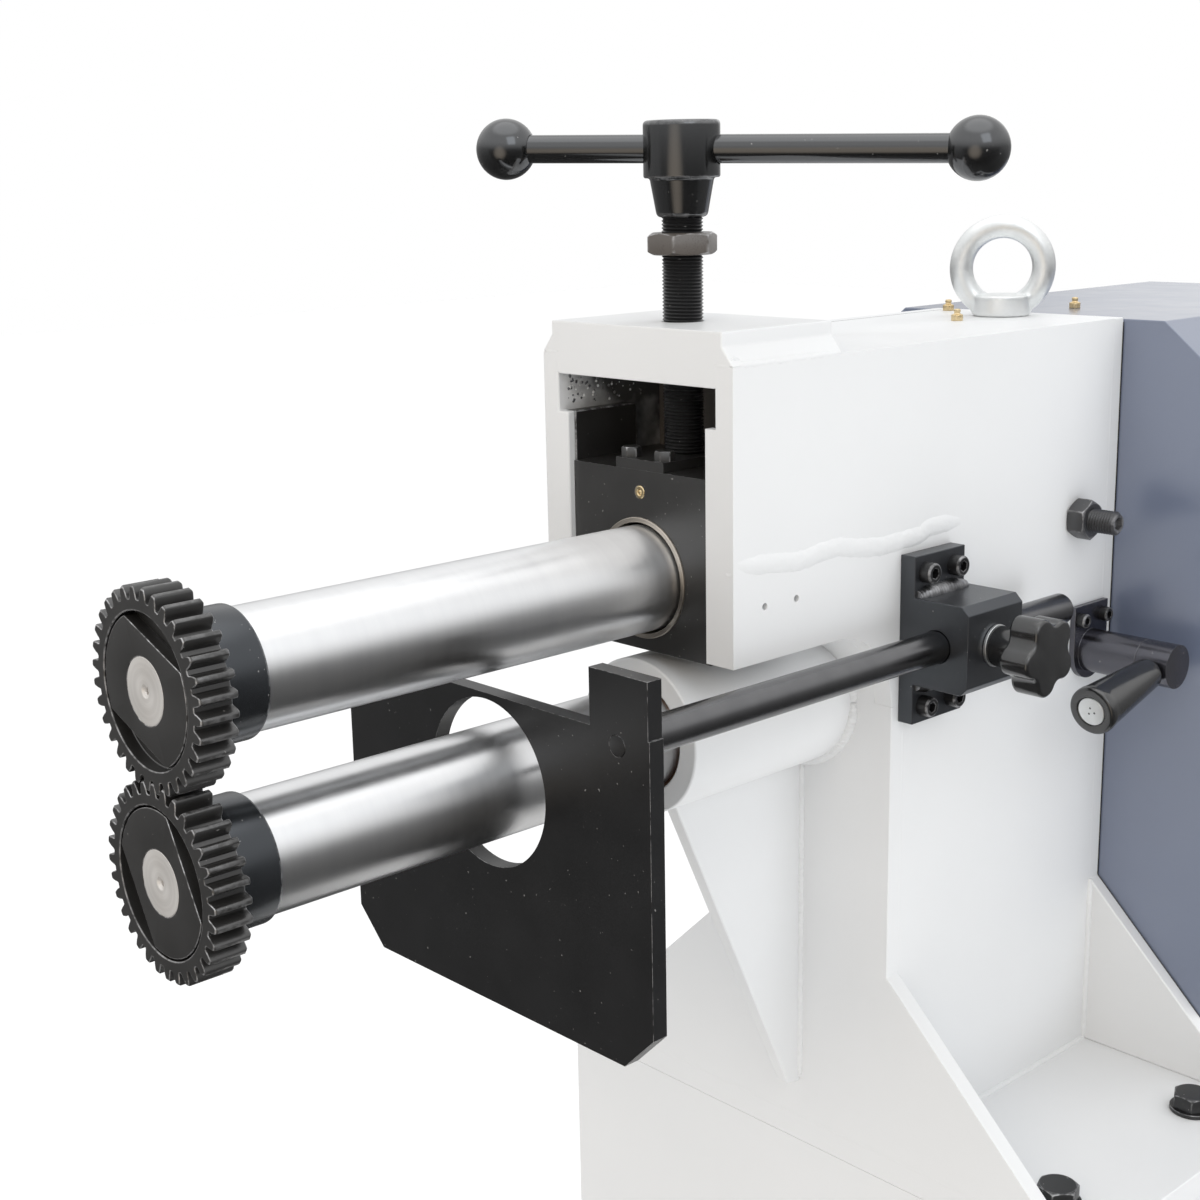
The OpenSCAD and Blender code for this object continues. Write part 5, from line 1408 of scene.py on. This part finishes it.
weld("clamp_welds", clamp_seams, 5.8, 2.4, 0.25, 2.6, 6.0, 24, finish=BARE_WELD)
print("clamp of", len(clamp.data.polygons), "faces")

# %% [markdown]
# The star knob is moulded. Its five lobes are arcs of circles that run into hollows, with soft edges,
# so it is turned from an outline whose radius depends on the angle. It stands turned a third of a lobe.

# %% Star knob
STAR_D = 50.0
STAR_T = 21.0
STAR_NECK = 17.0
STAR_NECK_D = 25.0
STUD_D = 10.0
LOBES = 5
STAR_TURN = math.radians(25)
LOBE_R = 0.34 * STAR_D / 2
LOBE_AT = STAR_D / 2 - LOBE_R
HOLLOW_R = 0.36 * STAR_D / 2
half_sector = math.pi / LOBES
HOLLOW_AT = LOBE_AT * math.cos(half_sector) + math.sqrt(
    (LOBE_R + HOLLOW_R) ** 2 - (LOBE_AT * math.sin(half_sector)) ** 2)
hollow_spot = HOLLOW_AT * Vector((math.cos(half_sector), math.sin(half_sector)))
lobe_spot = Vector((LOBE_AT, 0))
touching = lobe_spot + (hollow_spot - lobe_spot).normalized() * LOBE_R
LOBE_ANGLE = math.atan2(touching.y, touching.x)


def star_radius(angle):
    """Radius of the star at an angle, with a lobe at no angle."""
    turn = abs((angle + half_sector) % (2 * half_sector) - half_sector)
    if turn < LOBE_ANGLE:
        return LOBE_AT * math.cos(turn) + math.sqrt(LOBE_R ** 2 - (LOBE_AT * math.sin(turn)) ** 2)
    turn = half_sector - turn
    return HOLLOW_AT * math.cos(turn) - math.sqrt(HOLLOW_R ** 2 - (HOLLOW_AT * math.sin(turn)) ** 2)


knob_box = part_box("star_knob")
knob_length = (knob_box[1].x - knob_box[0].x) / MM
neck_start = knob_length - STAR_T - STAR_NECK


def star_rows(angle):
    """Outline of the knob with its stud, neck and star, in millimetres."""
    radius = star_radius(angle - STAR_TURN)
    return rows_of([(0, 0), (0, STUD_D / 2), (neck_start, STUD_D / 2), (neck_start, STAR_NECK_D / 2),
                    (neck_start + STAR_NECK, STAR_NECK_D / 2), (neck_start + STAR_NECK, radius - 1.5),
                    (neck_start + STAR_NECK + 1.5, radius), (knob_length - 2.4, radius),
                    (knob_length - 1.0, radius - 1.4), (knob_length, 0)], 1.0, 4)


knob_start = Vector((knob_box[0].x, (knob_box[0].y + knob_box[1].y) / 2, axis_point("knob_turn").z))
fit(turned("star_knob_moulded", star_rows, knob_start, (1, 0, 0), 180), PLASTIC, "star_knob")
print("gauge dressed")

# %% [markdown]
# ## Shift lever
# A tube on a flange carries the lever, and a plastic grip turns on the lever's axle.

# %% Shift lever
LEVER_POINT = axis_point("lever_turn")
GRIP_WAY = Vector(JOINTS["grip_spin"]["axis"])
GRIP_ROOT = 16.5
GRIP_END = 86.0
ROOT_D = 21.0
RIM_D = 33.0
CAP_D = 19.0
AXLE_D = 10.0
dress("lever_flange", LEVER_BLACK, 0.6)
dress("lever_hub", LEVER_BLACK, 1.2, 3)
grip_rows = rows_of([(GRIP_ROOT + 6, AXLE_D / 2 + 0.05), (GRIP_ROOT, AXLE_D / 2 + 0.05),
                     (GRIP_ROOT, ROOT_D / 2), (GRIP_END - 9, RIM_D / 2 - 0.9), (GRIP_END - 4, RIM_D / 2),
                     (GRIP_END, RIM_D / 2 - 0.6),
                     (GRIP_END, CAP_D / 2 + 0.3), (GRIP_END - 2.3, CAP_D / 2 + 0.3),
                     (GRIP_END - 2.3, AXLE_D / 2 + 0.05), (GRIP_ROOT + 6, AXLE_D / 2 + 0.05)], 2.2, 4)
grip = turned("lever_grip_turned", grip_rows, LEVER_POINT, GRIP_WAY)
fit(grip, PLASTIC, "lever_grip")
cap_rows = rows_of([(4, 0), (4, AXLE_D / 2), (GRIP_END - 2, AXLE_D / 2), (GRIP_END - 2, CAP_D / 2),
                    (GRIP_END, CAP_D / 2), (GRIP_END, 0)], 0.6)
fit(turned("grip_axle_turned", cap_rows, LEVER_POINT, GRIP_WAY), ZINC, "grip_axle")
cap_across = GRIP_WAY.orthogonal().normalized()
cap_places = []
for third in range(3):
    around = Matrix.Rotation(2 * math.pi * third / 3, 3, GRIP_WAY) @ cap_across
    cap_places.append(LEVER_POINT + GRIP_WAY * (GRIP_END - 0.1) * MM + around * 2.4 * MM)
# Three black dots on the cap stand for the shade in its punch marks: painted shade.
punch_rows = rows_of([(-0.3, 0), (-0.3, 0.8), (0.12, 0.8), (0.12, 0)], 0.2)
punch = turned("punch", punch_rows, (0, 0, 0), GRIP_WAY, 16)
punch_shade_dots = repeat("cap_punch_marks", punch, cap_places, GRIP_WAY, BLACK, 6)
attach(punch_shade_dots, BLACK, body_of("grip_axle"))
print("lever dressed")

# %% [markdown]
# ## Bolts and screws
# One head of each kind is turned, and a node tree sets it at every place.

# %% Bolts and screws
CLAMP_SCREWS = [at(CLAMP_FACE, y, ROD_Z + s * 42.2) for y in (159.0, 187.5) for s in (-1, 1)]
LEVER_SCREWS = [at(81.5, 358 + s * 13.75, -74.6) for s in (-1, 1)]
KEEPER_BOLTS = [at(x, y, 70.0) for x in (-13.65, 13.65) for y in (11.0, 71.0)]
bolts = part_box("base_bolts")
bolt_x = bolts[1].x - 0.015
bolt_rows = (bolts[0].y + 0.015, bolts[1].y - 0.015)
WASHER_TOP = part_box("base_plate")[1].z
BASE_BOLTS = [Vector((x, y, WASHER_TOP)) for x in (-bolt_x, bolt_x) for y in bolt_rows]


def joined(name, *things):
    """Several meshes as one object."""
    shape = bmesh.new()
    for thing in things:
        shape.from_mesh(thing.data)
    for thing in things:
        bpy.data.objects.remove(thing)
    whole = from_shape(name, shape)
    smooth(whole.data)
    return whole


def frame_bolt():
    """An M16 bolt with its washer, shank and nut."""
    low = (bolts[0].z - WASHER_TOP) / MM
    washer = turned("washer", rows_of([(1.5, 8.6), (0, 8.6), (0, 15), (3, 15), (3, 8.6), (1.5, 8.6)], 0.5),
                    (0, 0, 0), (0, 0, 1))
    head = turned("head", hexagon_rows(24.0, 3.0, 13.0, 0.0, False), (0, 0, 0), (0, 0, 1))
    shank = turned("shank", rows_of([(low, 0), (low, 8), (2, 8), (2, 0)], 1.0), (0, 0, 0), (0, 0, 1), 48)
    nut_rows = hexagon_rows(24.0, low + 4.0, low + 17.0, 8.0)
    holder = turned("nut", nut_rows, (0, 0, 0), (0, 0, 1), ring=True)
    return joined("frame_bolt", washer, head, shank, holder)


def keeper_bolt():
    """An M6 hexagon bolt."""
    head = turned("head", hexagon_rows(10.0, 0.0, 6.0, 0.0, False), (0, 0, 0), (0, 0, 1), 48)
    shank = turned("shank", rows_of([(-16, 0), (-16, 3), (1, 3), (1, 0)], 0.4), (0, 0, 0), (0, 0, 1), 36)
    return joined("keeper_bolt", head, shank)


clamp_head = turned("clamp_screw", cap_head_rows(13.0, 8.0, 6.0, 20.0), (0, 0, 0), (1, 0, 0))
lever_head = turned("lever_screw", cap_head_rows(10.0, 6.0, 5.0, 14.0), (0, 0, 0), (1, 0, 0))
SCREW_SETS = {
    "base_bolts": (frame_bolt(), BASE_BOLTS, (0, 0, 1), BLACK, 11),
    "keeper_bolts": (keeper_bolt(), KEEPER_BOLTS, (0, 0, 1), BLACK_WARM, 12),
    "clamp_screws": (clamp_head, CLAMP_SCREWS, (1, 0, 0), BLACK, 13),
    "lever_flange_screws": (lever_head, LEVER_SCREWS, (1, 0, 0), BLACK, 14),
}
for node, (screw_head, places, axis, finish, seed) in SCREW_SETS.items():
    fit(repeat(node + "_set", screw_head, places, axis, finish, seed), finish, node)
print(len(BASE_BOLTS), "frame bolts and", len(CLAMP_SCREWS), "clamp screws")

# %% [markdown]
# The pivot screws are studs with a hexagon socket in their end, each locked by a nut.

# %% Pivot screws
PIVOT_D = 16.0
PIVOT_PITCH = 2.0
NUT_LOW = SIDE_HALF
NUT_HIGH = 90.5
STUD_END = 110.0


def stud_rows(angle):
    """Outline of a stud with a hexagon socket, in millimetres from the middle of the machine."""
    core_radius = PIVOT_D / 2 - 1.1 * PIVOT_PITCH / 2
    socket = hexagon_radius(8.0, angle)
    outline = [(46.8, 0.0), (46.8, 6.0), (LIP_X, 6.0), (LIP_X, core_radius), (STUD_END - 1.0, core_radius),
               (STUD_END, core_radius - 0.8), (STUD_END, socket + 0.3), (STUD_END - 0.3, socket),
               (STUD_END - 4.0, socket), (STUD_END - 4.6, 0.0)]
    return [(along * MM, radius * MM, 0.3) for along, radius in outline]


pivot = axis_point("upper_tilt")
studs = []
nuts = []
threads = []
for way in (-1, 1):
    studs.append(turned("stud", stud_rows, pivot, (way, 0, 0)))
    nut_outline = hexagon_rows(24.0, NUT_LOW, NUT_HIGH, PIVOT_D / 2)
    nuts.append(turned("nut", nut_outline, pivot, (way, 0, 0), ring=True))
    thread_start = pivot + Vector((way * 66.0 * MM, 0, 0))
    threads.append(wind("thread", thread_start, (way, 0, 0), STUD_END - 67.0, PIVOT_D, PIVOT_PITCH, BLACK))
fit(joined("trunnion_screws_turned", *studs, *threads), GREY_OXIDE, "trunnion_screws")
fit(joined("trunnion_nuts_turned", *nuts), GREY_OXIDE, "trunnion_nuts")
print(len(studs), "pivot screws")

# %% [markdown]
# ## Lifting eye and grease nipples
# A lifting eye is forged, so its ring flows into its collar. Remeshing the solid in small voxels and
# smoothing it makes that flow.

# %% Lifting eye and nipples
eye = welded_copy("eye_bolt_forged", "eye_bolt")
voxels = eye.modifiers.new("forging", "REMESH")
voxels.mode = "VOXEL"
voxels.voxel_size = 0.0011
voxels.use_smooth_shade = True
flow = eye.modifiers.new("flow", "SMOOTH")
flow.iterations = 7
freeze(eye)
fit(eye, ZINC, "eye_bolt")

nipple_rows = rows_of([(-6, 0), (-6, 3), (0, 3), (0, 4), (4, 4), (4.6, 2.4), (5.4, 1.9), (6.2, 2.4),
                       (7.6, 2.2), (8, 1.2), (8, 0)], 0.4)
NIPPLES = [at(0, 306, ARM_TOP), at(-56, 372, ARM_TOP), at(0, 449, 127.5)]
nipple = turned("nipple", nipple_rows, (0, 0, 0), (0, 0, 1), 48)
fit(repeat("grease_nipples_set", nipple, NIPPLES, (0, 0, 1), BRASS, 21), BRASS, "grease_nipples")
print("eye of", len(eye.data.polygons), "faces")
